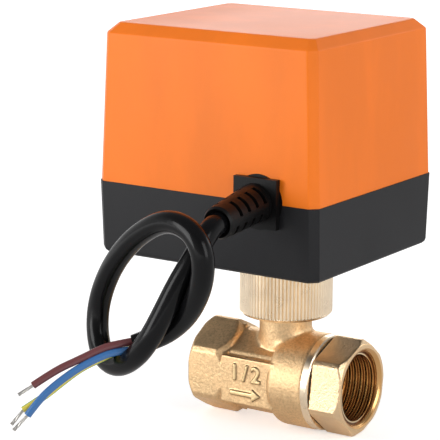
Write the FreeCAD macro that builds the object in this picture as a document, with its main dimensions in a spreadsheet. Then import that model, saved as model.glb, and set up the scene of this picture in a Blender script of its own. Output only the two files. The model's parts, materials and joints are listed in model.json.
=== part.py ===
import FreeCAD, Part
import math
import os
import types

import Sketcher
from FreeCAD import Placement, Rotation, Vector

# Motorized ball valve: a brass half-inch ball valve with a small geared electric actuator on top.
# Millimetres. Origin at the ball's centre, where the pipe axis and the stem axis cross.
# +X runs along the pipe towards the screwed-in end connector, -Y is the side that the cable
# leaves, and +Z runs up the stem. The valve stands open, with its bore along the pipe.

doc = FreeCAD.newDocument("motorized_ball_valve")
sheet = doc.addObject("Spreadsheet::Sheet", "Sizes")

SIZES = (
    # pipe ends
    ("port_radius", 10.48, "half the major diameter of the G 1/2 pipe thread"),
    ("port_depth", 12.5, "threaded depth of each port"),
    ("mouth_chamfer", 0.9, "bevel at each port's mouth"),
    ("end_reach", 25.5, "ball centre to either end face"),
    ("hexagon_flats", 25.0, "spanner size of both hexagons"),
    ("hexagon_turned_radius", 14.0, "radius to which the hexagon corners are turned"),
    ("hexagon_length", 12.5, "length of the cast hexagon"),
    ("end_bevel", 1.3, "bevel of each hexagon's outer end"),
    ("inner_bevel", 1.1, "bevel of the connector hexagon's inner end"),
    ("cast_bevel_length", 3.0, "cone at the cast hexagon's inner end"),
    ("cast_bevel", 2.0, "depth of that cone"),
    ("connector_twist", -9.0, "angle at which the connector's hexagon came tight"),
    # barrel and bores
    ("waist_flats", 22.6, "across the flats of the waist beside the pad"),
    ("waist_radius", 12.1, "radius to which the waist's corners are turned"),
    ("barrel_radius", 13.9, "round barrel"),
    ("barrel_start", 1.6, "where the barrel's bulge leaves the pad"),
    ("barrel_mouth", 15.5, "open end of the barrel"),
    ("rim_start", 13.3, "start of the barrel's machined rim"),
    ("rim_drop", 0.25, "how much smaller that rim is"),
    ("rim_bevel", 0.35, "bevel at the rim's end"),
    ("barrel_swell", 2.2, "length of the bulge's rounded shoulder"),
    ("shoulder_gap", 0.45, "gap between the barrel and the connector's hexagon"),
    ("passage_radius", 6.2, "flow passage between port and seat"),
    ("chamber_radius", 10.3, "room around the ball"),
    ("seat_radius", 9.0, "pocket of each ball seat"),
    ("seat_back", 9.5, "ball centre to the back of either seat"),
    ("seat_pocket_mouth", 6.2, "ball centre to the open side of either pocket"),
    ("seat_proud", 0.2, "how far a seat stands out of its pocket"),
    ("spigot_radius", 11.5, "connector's spigot in the barrel"),
    ("spigot_gap", 0.1, "spigot's end to the step of the ball's room"),
    ("body_seal_inset", 1.3, "body seal below the barrel's rim"),
    ("pad_top", 6.5, "upper edge of the lettering pad"),
    ("pad_bottom", -7.2, "lower edge of the lettering pad"),
    # ball and stem
    ("ball_radius", 10.0, "ball"),
    ("bore_radius", 6.0, "flow bore of the ball"),
    ("ball_clearance", 0.03, "ball to seat"),
    ("slot_width", 3.2, "drive slot in the ball"),
    ("slot_floor", 7.4, "height of the drive slot's floor"),
    ("tang_clearance", 0.1, "tang to slot, each side"),
    ("tang_width", 7.2, "width of the stem's tang"),
    ("stem_radius", 4.0, "stem"),
    ("stem_clearance", 0.05, "stem to its bore"),
    ("stem_collar_radius", 5.0, "collar that keeps the stem in"),
    ("collar_bottom", 10.6, "height of that collar's underside"),
    ("collar_height", 1.6, "height of that collar"),
    ("collar_clearance", 0.15, "collar to its recess"),
    ("washer_height", 0.5, "thrust washer"),
    ("ring_section", 1.24, "thickness of the stem's O-rings"),
    ("ring_groove_depth", 1.25, "depth of their grooves"),
    ("ring_groove_width", 1.6, "width of their grooves"),
    ("ring_low", 16.0, "height of the lower O-ring"),
    ("ring_pitch", 3.6, "between the two O-rings"),
    ("drive_flats", 5.5, "across the stem's drive flats"),
    ("drive_start", 28.4, "height where the drive flats begin"),
    ("stem_top", 34.0, "top of the stem"),
    # neck and union nut
    ("neck_radius", 7.6, "neck"),
    ("neck_top", 28.0, "top of the neck"),
    ("neck_flats", 13.0, "flats that stop the actuator turning"),
    ("nut_bottom", 18.7, "underside of the union nut"),
    ("nut_height", 12.3, "union nut"),
    ("nut_lift", 0.3, "play between the nut's web and the snap ring"),
    ("nut_radius", 13.35, "over the knurling"),
    ("nut_web", 2.5, "inward web at the nut's underside"),
    ("nut_web_clearance", 0.15, "web to neck"),
    ("nut_edge_bevel", 0.8, "bevel at the nut's ends"),
    ("knurl_count", 78, "ridges around the nut"),
    ("knurl_depth", 0.32, "depth between the ridges"),
    ("snap_ring_radius", 9.2, "snap ring that holds the nut on the neck"),
    ("snap_ring_height", 1.0, "its thickness"),
    ("snap_ring_groove", 0.8, "depth of its groove"),
    ("snap_ring_gap", 2.4, "its opening"),
    ("collar_thread_radius", 11.5, "threaded collar under the actuator"),
    ("nut_thread_clearance", 0.08, "collar to nut"),
    ("collar_low", 24.0, "lower end of that collar"),
    ("neck_clearance", 0.12, "collar to neck"),
    ("flat_relief", 0.3, "neck's flats below the collar"),
    ("neck_headroom", 0.2, "neck's top to the base"),
    ("collar_root", 1.6, "spread of the collar under the floor"),
    # housing
    ("housing_x", -7.0, "housing's middle along the pipe"),
    ("base_bottom", 37.0, "underside of the base"),
    ("seam", 57.8, "joint between base and cover"),
    ("shoulder", 99.65, "top of the cover's sides"),
    ("housing_top", 102.4, "flat top"),
    ("seam_length", 72.0, "housing at the seam along X"),
    ("seam_width", 65.8, "housing at the seam along Y"),
    ("base_taper_x", 0.4, "how much shorter the base's underside is"),
    ("base_taper_y", 1.8, "how much narrower it is"),
    ("cover_taper_x", 3.6, "how much shorter the top of the cover's sides is"),
    ("cover_taper_y", 1.9, "how much narrower it is"),
    ("top_inset_x", 4.9, "how much shorter the flat top is than the top of the sides"),
    ("top_inset_y", 7.3, "how much narrower it is"),
    ("cover_step", 0.2, "how far the base stands out past the cover"),
    ("corner_bevel", 2.1, "vertical corners"),
    ("top_corner_bevel", 1.3, "corners of the flat top"),
    ("wall", 2.0, "housing walls"),
    ("floor_height", 2.5, "base's floor"),
    ("foot_round", 1.6, "rounded edge of the base's underside"),
    ("edge_round", 0.9, "rounding of the cover's outer edges"),
    ("seal_width", 0.8, "housing seal in the base's rim"),
    ("seal_height", 0.9, "its height"),
    ("post_inset", 5.2, "housing's sides to the screw posts"),
    ("post_radius", 3.4, "screw posts"),
    ("screw_radius", 1.5, "cover screws"),
    ("screw_head_radius", 2.5, "their heads"),
    ("screw_head_height", 1.8, "their heads"),
    ("screw_grip", 7.8, "seam to where their heads rest"),
    ("screw_length", 18.0, "under the head"),
    ("screw_clearance", 0.15, "screws to the base's holes"),
    ("screw_head_clearance", 0.3, "heads to their wells"),
    ("screw_slot_width", 0.7, "slot in each head"),
    ("screw_slot_depth", 0.8, "slot in each head"),
    # strain relief and cable
    ("gland_inset", 18.0, "housing's end towards +X to the middle of the strain relief"),
    ("gland_rise", 0.2, "seam to the middle of its plate"),
    ("gland_hole_radius", 7.6, "round hole in the wall"),
    ("gland_plate", 13.6, "side of the square plate"),
    ("gland_plate_proud", 1.7, "plate's thickness"),
    ("gland_neck_play", 0.7, "moulding's neck beyond the wall's thickness"),
    ("gland_inner_height", 1.4, "flange behind the wall"),
    ("gland_inner_radius", 8.6, "its radius"),
    ("boot_length", 20.2, "boot beyond the plate"),
    ("boot_radius", 5.4, "boot at the plate"),
    ("boot_end_radius", 4.5, "boot at its end"),
    ("boot_droop", 5.7, "boot's slope, degrees"),
    ("boot_yaw", 3.0, "boot's turn towards +X, degrees"),
    ("boot_slot_width", 1.35, "slots around the boot"),
    ("boot_slot_depth", 1.7, "their depth"),
    ("boot_slot_pitch", 3.9, "between slots of one column"),
    ("boot_slot_span", 64.0, "arc of each slot, degrees"),
    ("boot_slot_start", 2.2, "plate to the first slots"),
    ("boot_tip", 1.2, "bevelled end of the boot"),
    ("boot_tip_drop", 0.9, "height of that bevel"),
    ("boot_mouth", 1.4, "depth of the flared mouth"),
    ("cord_diameter", 6.0, "cable jacket"),
    ("cord_clearance", 0.05, "jacket to boot"),
    ("cord_entry", 4.0, "jacket inside the boot's end"),
    ("core_diameter", 2.0, "insulated cores"),
    ("strand_diameter", 0.9, "bare wire ends"),
    ("strand_gap", 0.1, "core's cut end to the bare wire"),
    # gear case
    ("plate_low", 43.0, "underside of the lower gear plate"),
    ("plate_thickness", 1.2, "both gear plates"),
    ("plate_high", 59.0, "underside of the upper gear plate"),
    ("plate_inset", 9.0, "plates' ends to the housing's ends"),
    ("plate_half_width", 26.8, "half the plates' width"),
    ("pillar_inset_low", 3.0, "plates' end towards -X to the pillars there"),
    ("pillar_inset_high", 4.0, "plates' end towards +X to the pillars there"),
    ("pillar_y", 19.0, "pillars from the middle"),
    ("pillar_radius", 2.5, "pillars"),
    ("gear_share", 90.0, "housing's length in modules of the gears"),
    ("pinion_teeth", 10, "teeth of each pinion"),
    ("wheel_teeth", 30, "teeth of each compound wheel"),
    ("output_teeth", 36, "teeth of the output gear"),
    ("gear_backlash", 0.16, "play between teeth"),
    ("gear_height", 3.0, "width of the wheels"),
    ("output_level", 46.0, "underside of the output gear"),
    ("second_level", 50.3, "underside of the second wheel"),
    ("first_level", 54.6, "underside of the first wheel"),
    ("axle_radius", 1.0, "gear axle pins"),
    ("axle_clearance", 0.04, "gear to its pin"),
    ("end_float", 0.15, "gears between the plates"),
    ("pinion_overlap", 0.2, "pinion beyond the wheel it drives"),
    ("hub_radius", 2.0, "hubs of the compound gears"),
    ("second_angle", 135.0, "output gear to second gear, degrees"),
    ("first_angle", 215.0, "second gear to first gear, degrees"),
    ("motor_angle", -50.0, "first gear to motor, degrees"),
    ("motor_share", 17.5, "motor can's radius in modules of the gears"),
    ("motor_height", 14.0, "motor can"),
    ("motor_ear_outset", 2.5, "motor can's side to its screws"),
    ("motor_ear_angle", 75.0, "direction of its ears, degrees"),
    ("motor_ear_radius", 2.7, "ears"),
    ("motor_ear_height", 1.0, "ears"),
    ("motor_screw_radius", 1.25, "motor screws"),
    ("motor_screw_head", 1.3, "height of their heads"),
    ("motor_screw_head_radius", 2.3, "their heads"),
    ("motor_screw_reach", 0.8, "their ends below the plate"),
    ("motor_boss_radius", 3.5, "bearing boss on the can"),
    ("motor_boss_height", 1.2, "bearing boss on the can"),
    ("motor_shaft_clearance", 0.3, "motor shaft to its way"),
    ("motor_shaft_inset", 4.0, "top of the can to the shaft's end"),
    # output shaft
    ("shaft_bottom", 28.7, "lower end of the output shaft"),
    ("shaft_radius", 6.0, "its lower part"),
    ("shaft_clearance", 0.05, "shaft to bush"),
    ("shaft_step", 45.8, "shoulder under the output gear"),
    ("gear_seat_radius", 4.5, "gear seat"),
    ("gear_seat_flats", 7.0, "across its flats"),
    ("shaft_thin_radius", 3.0, "upper part"),
    ("shaft_flats", 4.8, "across its flats at the cams"),
    ("shaft_top", 88.0, "upper end"),
    ("shaft_seat_spare", 0.4, "gear seat above the gear"),
    ("socket_clearance", 0.1, "stem to its socket"),
    ("plate_shaft_clearance", 0.2, "lower gear plate to the shaft"),
    ("socket_depth", 6.0, "socket for the stem"),
    ("bush_radius", 7.5, "output bush"),
    ("bush_bottom", 31.5, "lower end of the bush"),
    ("bush_flange_radius", 9.2, "its flange"),
    ("bush_flange_height", 1.0, "its flange"),
    # circuit board and switches
    ("board_low", 77.5, "underside of the circuit board"),
    ("board_thickness", 1.6, "circuit board"),
    ("board_shortfall", 1.0, "how much shorter than the gear plates it is, towards +X"),
    ("board_half_width", 22.0, "half its width"),
    ("board_hole_radius", 6.0, "hole around the shaft"),
    ("cam_radius", 7.0, "high part of the cams"),
    ("cam_rise", 0.6, "lift of the cams over a quarter turn"),
    ("cam_height", 2.6, "each cam"),
    ("cam_low", 80.6, "underside of the lower cam"),
    ("cam_clearance", 0.08, "cam to plunger"),
    ("cam_gap", 0.2, "between the cams, and under the lower one"),
    ("switch_length", 12.8, "switch housing"),
    ("switch_height", 5.8, "switch housing"),
    ("switch_depth", 6.5, "switch housing"),
    ("switch_distance", 8.6, "shaft axis to the switch's face"),
    ("plunger_radius", 0.9, "switch plunger"),
    ("plunger_length", 3.4, "switch plunger"),
    ("plunger_clearance", 0.06, "plunger to its hole"),
    ("capacitor_radius", 4.0, "capacitor"),
    ("capacitor_height", 11.0, "capacitor"),
    ("capacitor_x", 12.0, "capacitor's place"),
    ("capacitor_y", 16.0, "capacitor's place"),
    ("terminal_length", 15.0, "terminal block"),
    ("terminal_width", 8.0, "terminal block"),
    ("terminal_height", 9.0, "terminal block"),
    ("terminal_x", -4.0, "terminal block's place"),
    ("terminal_y", -17.0, "terminal block's place"),
    ("terminal_pitch", 4.7, "between its three screws"),
    ("terminal_screw_radius", 1.5, "its screw wells"),
    ("terminal_entry", 2.4, "its wire entries"),
    ("terminal_entry_depth", 3.0, "its wire entries"),
    ("terminal_entry_floor", 1.5, "height of the entries' floor"),
)

# The cable's route as points chosen by hand: out of the boot, down, round one loose loop and
# behind itself to the jacket's cut end.
JACKET_ROUTE = (
    (12.1, -59.6, 53.8), (11.5, -62.6, 50.2), (10.1, -65.1, 45.9), (8.2, -67.4, 41.0),
    (6.2, -69.6, 35.1), (3.3, -71.6, 28.1), (-2.0, -71.1, 21.5), (-9.7, -68.8, 17.1),
    (-16.5, -66.0, 18.2), (-20.2, -63.4, 23.3), (-20.8, -62.2, 30.4), (-18.2, -62.4, 38.0),
    (-12.9, -63.7, 45.8), (-4.9, -65.4, 53.4), (4.9, -67.2, 58.6), (13.6, -69.0, 57.7),
    (18.3, -70.0, 52.6), (18.4, -69.1, 45.4), (15.3, -67.0, 38.0), (9.8, -64.9, 31.8),
    (3.9, -64.4, 27.6), (-0.7, -65.7, 25.4), (-4.3, -68.3, 23.8),
)
# Each core's route starts inside the jacket's end. Its last run is the bare wire.
CORE_ROUTES = {
    "core_brown": (
        (-3.1, -67.8, 25.4), (-7.1, -71.9, 24.7), (-10.1, -74.5, 23.7), (-14.7, -78.4, 20.8),
        (-19.7, -82.6, 17.9), (-23.9, -86.5, 14.1), (-26.8, -89.0, 11.7),
    ),
    "core_blue": (
        (-4.0, -69.0, 23.0), (-7.0, -72.4, 22.3), (-9.8, -75.0, 21.3), (-14.4, -78.9, 18.8),
        (-18.8, -83.2, 14.6), (-21.8, -86.4, 10.8), (-23.8, -89.1, 6.6), (-26.4, -91.8, 2.8),
    ),
    "core_yellow_green": (
        (-5.1, -67.1, 23.2), (-8.4, -70.1, 21.3), (-11.0, -72.8, 19.6), (-15.1, -76.7, 17.1),
        (-18.7, -80.5, 13.5), (-22.0, -83.9, 10.2), (-26.2, -87.8, 7.3), (-28.3, -90.2, 3.6),
    ),
}


class Size:
    """A size that carries its number and the sheet expression that it comes from."""

    def __init__(self, number, text):
        self.number = float(number)
        self.text = text

    def __add__(self, other):
        other = as_size(other)
        return Size(self.number + other.number, f"({self.text} + {other.text})")

    def __sub__(self, other):
        other = as_size(other)
        return Size(self.number - other.number, f"({self.text} - {other.text})")

    def __mul__(self, other):
        other = as_size(other)
        return Size(self.number * other.number, f"{self.text} * {other.text}")

    def __truediv__(self, other):
        other = as_size(other)
        return Size(self.number / other.number, f"{self.text} / {other.text}")

    def __neg__(self):
        return Size(-self.number, f"(0 - {self.text})")

    def __radd__(self, other):
        return as_size(other) + self

    def __rsub__(self, other):
        return as_size(other) - self

    def __rmul__(self, other):
        return as_size(other) * self

    def __float__(self):
        return self.number


def as_size(value):
    """Take a plain number or a Size and give a Size."""
    return value if isinstance(value, Size) else Size(value, f"({value})")


def fill_sheet():
    """Write each driving size to the sheet and give them back under their names."""
    named = {}
    for row, (alias, number, note) in enumerate(SIZES, start=1):
        sheet.set(f"A{row}", note)
        sheet.set(f"B{row}", str(number))
        sheet.setAlias(f"B{row}", alias)
        named[alias] = Size(number, f"Sizes.{alias}")
    doc.recompute()
    return types.SimpleNamespace(**named)


s = fill_sheet()
pieces = []

# Levels and places that follow from the driving sizes.
bottom_length = s.seam_length - s.base_taper_x
bottom_width = s.seam_width - s.base_taper_y
shoulder_length = s.seam_length - s.cover_taper_x
shoulder_width = s.seam_width - s.cover_taper_y
top_length = shoulder_length - s.top_inset_x
top_width = shoulder_width - s.top_inset_y
screw_seat = s.seam - s.screw_grip
gland_x = s.housing_x + s.seam_length / 2 - s.gland_inset
gland_z = s.seam + s.gland_rise
cover_length = s.seam_length - 2 * s.cover_step
cover_width = s.seam_width - 2 * s.cover_step
plate_left = s.housing_x - s.seam_length / 2 + s.plate_inset
plate_right = s.housing_x + s.seam_length / 2 - s.plate_inset
board_right = plate_right - s.board_shortfall
gear_module = s.seam_length / s.gear_share
motor_radius = gear_module * s.motor_share
motor_ear_reach = motor_radius + s.motor_ear_outset


def bind(item, name, value):
    """Tie one property to the sheet."""
    item.setExpression(name, as_size(value).text)


def place(item, x=0, y=0, z=0):
    """Tie an object's position to the sheet."""
    for letter, value in zip("xyz", (x, y, z)):
        if float(value) != 0:
            bind(item, f"Placement.Base.{letter}", value)
    return item


# Turn a primitive's own Z axis along +X or along -Y.
ALONG_X = Rotation(Vector(0, 1, 0), 90)
ALONG_MINUS_Y = Rotation(Vector(1, 0, 0), 90)


def cylinder(radius, height, x=0, y=0, z=0, turn=None):
    item = doc.addObject("Part::Cylinder", "round")
    bind(item, "Radius", radius)
    bind(item, "Height", height)
    if turn is not None:
        item.Placement = Placement(Vector(0, 0, 0), turn)
    return place(item, x, y, z)


def cone(low_radius, high_radius, height, x=0, y=0, z=0, turn=None):
    item = doc.addObject("Part::Cone", "taper")
    bind(item, "Radius1", low_radius)
    bind(item, "Radius2", high_radius)
    bind(item, "Height", height)
    if turn is not None:
        item.Placement = Placement(Vector(0, 0, 0), turn)
    return place(item, x, y, z)


def block(length, width, height, x, y, z):
    """A block from its lowest corner."""
    item = doc.addObject("Part::Box", "block")
    bind(item, "Length", length)
    bind(item, "Width", width)
    bind(item, "Height", height)
    return place(item, x, y, z)


def centred_block(length, width, height, x, y, z):
    """A block whose x and y are its middle and whose z is its underside."""
    return block(length, width, height, x - as_size(length) / 2, y - as_size(width) / 2, z)


def fuse(*items):
    item = doc.addObject("Part::MultiFuse", "joined")
    item.Shapes = list(items)
    return item


def cut(base, *tools):
    item = doc.addObject("Part::Cut", "trimmed")
    item.Base = base
    item.Tool = tools[0] if len(tools) == 1 else fuse(*tools)
    return item


def common(first, second):
    item = doc.addObject("Part::MultiCommon", "shared")
    item.Shapes = [first, second]
    return item


def group(*items):
    """Identical loose pieces in one node, as separate solids."""
    item = doc.addObject("Part::Compound", "set")
    item.Links = list(items)
    return item


def piece(name, item):
    """Name a finished piece."""
    item.Label = name
    pieces.append(item)
    return item


def fixed_shape(name, shape):
    """A shape made with Part's own functions from sizes in the sheet."""
    item = doc.addObject("Part::Feature", name)
    item.Shape = shape
    return item


def ring(outer, inner, height, x=0, y=0, z=0, turn=None):
    return cut(cylinder(outer, height, x, y, z, turn), cylinder(inner, height, x, y, z, turn))


def double_flat(radius, flats, height, z):
    """A round bar about the stem axis with flats towards -X and +X."""
    return common(
        cylinder(radius, height, 0, 0, z),
        centred_block(flats, 2 * as_size(radius), height, 0, 0, z),
    )


def new_body(name):
    return doc.addObject("PartDesign::Body", name)


def base_plane(body, role):
    for feature in body.Origin.OriginFeatures:
        if feature.Role == role:
            return feature
    raise RuntimeError(f"no plane {role}")


def outline(body, name, role, corners, height=None):
    """A closed outline of straight edges whose corners are all held from the sketch's origin."""
    sketch = body.newObject("Sketcher::SketchObject", name)
    sketch.AttachmentSupport = [(base_plane(body, role), "")]
    sketch.MapMode = "FlatFace"
    if height is not None:
        bind(sketch, "AttachmentOffset.Base.z", height)
    points = [Vector(float(across), float(up), 0) for across, up in corners]
    count = len(points)
    for index in range(count):
        sketch.addGeometry(Part.LineSegment(points[index], points[(index + 1) % count]))
    for index in range(count):
        sketch.addConstraint(Sketcher.Constraint("Coincident", index, 2, (index + 1) % count, 1))
    for index, (across, up) in enumerate(corners):
        for kind, value in (("DistanceX", across), ("DistanceY", up)):
            held = sketch.addConstraint(Sketcher.Constraint(kind, -1, 1, index, 1, float(value)))
            bind(sketch, f"Constraints[{held}]", value)
    return sketch


def turned(body, name, role, corners, axis, kind="PartDesign::Revolution"):
    """A turned solid, or a turned cut, from an outline beside the sketch's axis."""
    sketch = outline(body, name + "_outline", role, corners)
    feature = body.newObject(kind, name)
    feature.Profile = sketch
    feature.ReferenceAxis = (sketch, [axis])
    feature.Angle = 360
    doc.recompute()
    return feature


def turned_cut(body, name, role, corners, axis):
    return turned(body, name, role, corners, axis, "PartDesign::Groove")


def pushed(body, name, role, corners, start, length, kind="PartDesign::Pad"):
    """A straight solid or cut whose outline lies at a distance from its plane."""
    sketch = outline(body, name + "_outline", role, corners, start)
    feature = body.newObject(kind, name)
    feature.Profile = sketch
    bind(feature, "Length", length)
    doc.recompute()
    return feature


def hexagon(flats):
    """Corners of a hexagon whose apex points up."""
    corners = []
    reach = flats / 2 / math.cos(math.radians(30))
    for index in range(6):
        angle = math.radians(60 * index + 90)
        corners.append((reach * math.cos(angle), reach * math.sin(angle)))
    return corners


# The barrel's rounded shoulder, as shares of its length and of its drop to the waist.
SHOULDER_CURVE = ((1.0, 0.0), (0.62, 0.08), (0.29, 0.29), (0.08, 0.62), (0.0, 1.0))


# Valve body: cast hexagon, lettering pad, barrel and neck, bored through.
def make_valve_body():
    body = new_body("valve_body_solid")
    hexagon_end = -s.end_reach
    hexagon_start = s.hexagon_length - s.end_reach
    # The plane across the pipe has its normal along +X.
    pushed(body, "cast_hexagon", "YZ_Plane", hexagon(s.hexagon_flats), hexagon_end, s.hexagon_length)
    # The corners are turned round, and both ends are bevelled.
    outside = s.hexagon_turned_radius + 3
    turned_cut(body, "turned_corners", "XZ_Plane", (
        (hexagon_end - 1, s.hexagon_turned_radius - s.end_bevel - 1),
        (hexagon_end + s.end_bevel, s.hexagon_turned_radius),
        (hexagon_start - s.cast_bevel_length, s.hexagon_turned_radius),
        (hexagon_start, s.hexagon_turned_radius - s.cast_bevel),
        (hexagon_start, outside),
        (hexagon_end - 1, outside),
    ), "H_Axis")
    rim_radius = s.barrel_radius - s.rim_drop
    shoulder = [
        (s.barrel_start + s.barrel_swell * along,
         s.barrel_radius - (s.barrel_radius - s.waist_radius) * drop)
        for along, drop in SHOULDER_CURVE
    ]
    pushed(body, "waist", "YZ_Plane", hexagon(s.waist_flats), hexagon_start - 1,
           s.barrel_start - hexagon_start + 2)
    turned_cut(body, "turned_waist", "XZ_Plane", (
        (hexagon_start, s.waist_radius),
        (s.barrel_start + 1, s.waist_radius),
        (s.barrel_start + 1, outside),
        (hexagon_start, outside),
    ), "H_Axis")
    turned(body, "barrel", "XZ_Plane", (
        (s.barrel_start, 0),
        (s.barrel_mouth, 0),
        (s.barrel_mouth, rim_radius - s.rim_bevel),
        (s.barrel_mouth - s.rim_bevel, rim_radius),
        (s.rim_start, rim_radius),
        (s.rim_start - s.rim_drop, s.barrel_radius),
        *shoulder,
    ), "H_Axis")
    # The pad is flush with the hexagon's front flat.
    pad_corners = (
        (hexagon_start - 1, s.pad_bottom),
        (s.barrel_start + 2, s.pad_bottom),
        (s.barrel_start + 2, s.pad_top),
        (hexagon_start - 1, s.pad_top),
    )
    # The plane along the pipe has its normal along -Y, so the pad grows towards the front.
    pushed(body, "pad", "XZ_Plane", pad_corners, 0, s.hexagon_flats / 2)
    pushed(body, "rear_pad", "XZ_Plane", pad_corners, -s.hexagon_flats / 2, s.hexagon_flats / 2)
    turned(body, "neck", "XZ_Plane", (
        (0, 0),
        (s.neck_radius, 0),
        (s.neck_radius, s.neck_top),
        (0, s.neck_top),
    ), "V_Axis")
    ring_low = s.nut_bottom + s.nut_web + s.nut_lift
    turned_cut(body, "snap_ring_groove", "XZ_Plane", (
        (s.neck_radius - s.snap_ring_groove, ring_low),
        (s.neck_radius + 1, ring_low),
        (s.neck_radius + 1, ring_low + s.snap_ring_height),
        (s.neck_radius - s.snap_ring_groove, ring_low + s.snap_ring_height),
    ), "V_Axis")
    # Inside, from the cast port to the open end of the barrel.
    port_end = s.port_depth - s.end_reach
    turned_cut(body, "flow_way", "XZ_Plane", (
        (hexagon_end - 1, 0),
        (hexagon_end - 1, s.port_radius + s.mouth_chamfer + 1),
        (hexagon_end + s.mouth_chamfer, s.port_radius),
        (port_end, s.port_radius),
        (port_end, s.passage_radius),
        (-s.seat_back, s.passage_radius),
        (-s.seat_back, s.seat_radius),
        (-s.seat_pocket_mouth, s.seat_radius),
        (-s.seat_pocket_mouth, s.chamber_radius),
        (s.seat_pocket_mouth, s.chamber_radius),
        (s.seat_pocket_mouth, s.spigot_radius),
        (s.barrel_mouth + 1, s.spigot_radius),
        (s.barrel_mouth + 1, 0),
    ), "H_Axis")
    recess_radius = s.stem_collar_radius + s.collar_clearance
    recess_top = s.collar_bottom + s.collar_height + s.washer_height
    bore = s.stem_radius + s.stem_clearance
    turned_cut(body, "stem_bore", "XZ_Plane", (
        (0, s.ball_radius - 2),
        (recess_radius, s.ball_radius - 2),
        (recess_radius, recess_top),
        (bore, recess_top),
        (bore, s.neck_top + 1),
        (0, s.neck_top + 1),
    ), "V_Axis")
    # Two flats at the neck's top, across the pipe.
    for side, name in ((1, "right_flat"), (-1, "left_flat")):
        edge = s.neck_flats / 2 * side
        beyond = (s.neck_radius + 1) * side
        flat_low = s.collar_low - s.flat_relief
        corners = (
            (edge, flat_low),
            (beyond, flat_low),
            (beyond, s.neck_top + 1),
            (edge, s.neck_top + 1),
        )
        flat = pushed(body, name, "XZ_Plane", corners, -s.neck_radius - 1,
                      2 * (s.neck_radius + 1), "PartDesign::Pocket")
        flat.Reversed = True
    return body


# End connector: hexagon head and a spigot that carries the second seat.
def make_end_connector():
    body = new_body("end_connector_solid")
    head_start = s.barrel_mouth + s.shoulder_gap
    outside = s.hexagon_turned_radius + 3
    pushed(body, "head", "YZ_Plane", hexagon(s.hexagon_flats), head_start, s.end_reach - head_start)
    turned_cut(body, "turned_corners", "XZ_Plane", (
        (head_start - 1, s.hexagon_turned_radius - s.inner_bevel - 1),
        (head_start + s.inner_bevel, s.hexagon_turned_radius),
        (s.end_reach - s.end_bevel, s.hexagon_turned_radius),
        (s.end_reach + 1, s.hexagon_turned_radius - s.end_bevel - 1),
        (s.end_reach + 1, outside),
        (head_start - 1, outside),
    ), "H_Axis")
    turned(body, "spigot", "XZ_Plane", (
        (s.seat_pocket_mouth + s.spigot_gap, 0),
        (head_start + 1, 0),
        (head_start + 1, s.spigot_radius),
        (s.seat_pocket_mouth + s.spigot_gap, s.spigot_radius),
    ), "H_Axis")
    port_end = s.end_reach - s.port_depth
    turned_cut(body, "flow_way", "XZ_Plane", (
        (s.seat_pocket_mouth - 1, 0),
        (s.seat_pocket_mouth - 1, s.seat_radius),
        (s.seat_back, s.seat_radius),
        (s.seat_back, s.passage_radius),
        (port_end, s.passage_radius),
        (port_end, s.port_radius),
        (s.end_reach - s.mouth_chamfer, s.port_radius),
        (s.end_reach + 1, s.port_radius + s.mouth_chamfer + 1),
        (s.end_reach + 1, 0),
    ), "H_Axis")
    # It came tight a little past the cast hexagon's position.
    body.setExpression("Placement.Rotation.Angle", s.connector_twist.text)
    body.Placement = Placement(Vector(0, 0, 0), Rotation(Vector(1, 0, 0), float(s.connector_twist)))
    return body


def make_body_seal():
    outer = s.barrel_radius - s.rim_drop - s.body_seal_inset
    return ring(outer, s.spigot_radius, s.shoulder_gap, s.barrel_mouth, 0, 0, ALONG_X)


def make_seat(side):
    """A plastic ring with a round face that the ball rests in."""
    depth = s.seat_back - s.seat_pocket_mouth + s.seat_proud
    low = -s.seat_back if side < 0 else s.seat_pocket_mouth - s.seat_proud
    sphere = doc.addObject("Part::Sphere", "ball_form")
    bind(sphere, "Radius", s.ball_radius + s.ball_clearance)
    return cut(
        cylinder(s.seat_radius, depth, low, 0, 0, ALONG_X),
        cylinder(s.passage_radius, depth, low, 0, 0, ALONG_X),
        sphere,
    )


def make_ball():
    sphere = doc.addObject("Part::Sphere", "ball_form")
    bind(sphere, "Radius", s.ball_radius)
    width = 2 * s.ball_radius
    return cut(
        sphere,
        cylinder(s.bore_radius, width, -s.ball_radius, 0, 0, ALONG_X),
        centred_block(s.slot_width, width, s.ball_radius, 0, 0, s.slot_floor),
    )


def make_stem():
    tang_bottom = s.slot_floor + s.tang_clearance
    blade = centred_block(
        s.slot_width - 2 * s.tang_clearance, s.tang_width,
        s.collar_bottom + s.collar_height / 2 - tang_bottom, 0, 0, tang_bottom,
    )
    collar = cylinder(s.stem_collar_radius, s.collar_height, 0, 0, s.collar_bottom)
    shank = cylinder(s.stem_radius, s.drive_start - s.collar_bottom, 0, 0, s.collar_bottom)
    drive = double_flat(
        s.stem_radius, s.drive_flats, s.stem_top - s.drive_start, s.drive_start,
    )
    grooves = []
    for index in range(2):
        low = s.ring_low + s.ring_pitch * index - s.ring_groove_width / 2
        grooves.append(ring(
            s.stem_radius + 1, s.stem_radius - s.ring_groove_depth, s.ring_groove_width, 0, 0, low,
        ))
    return cut(fuse(blade, collar, shank, drive), *grooves)


def make_stem_rings():
    rings = []
    for index in range(2):
        item = doc.addObject("Part::Torus", "ring")
        section = s.ring_section / 2
        bind(item, "Radius2", section)
        bind(item, "Radius1", s.stem_radius - s.ring_groove_depth + s.ball_clearance + section)
        place(item, 0, 0, s.ring_low + s.ring_pitch * index)
        rings.append(item)
    return group(*rings)


def make_thrust_washer():
    low = s.collar_bottom + s.collar_height
    outer = s.stem_collar_radius - s.stem_clearance
    return ring(outer, s.stem_radius + s.stem_clearance, s.washer_height, 0, 0, low)


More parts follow.
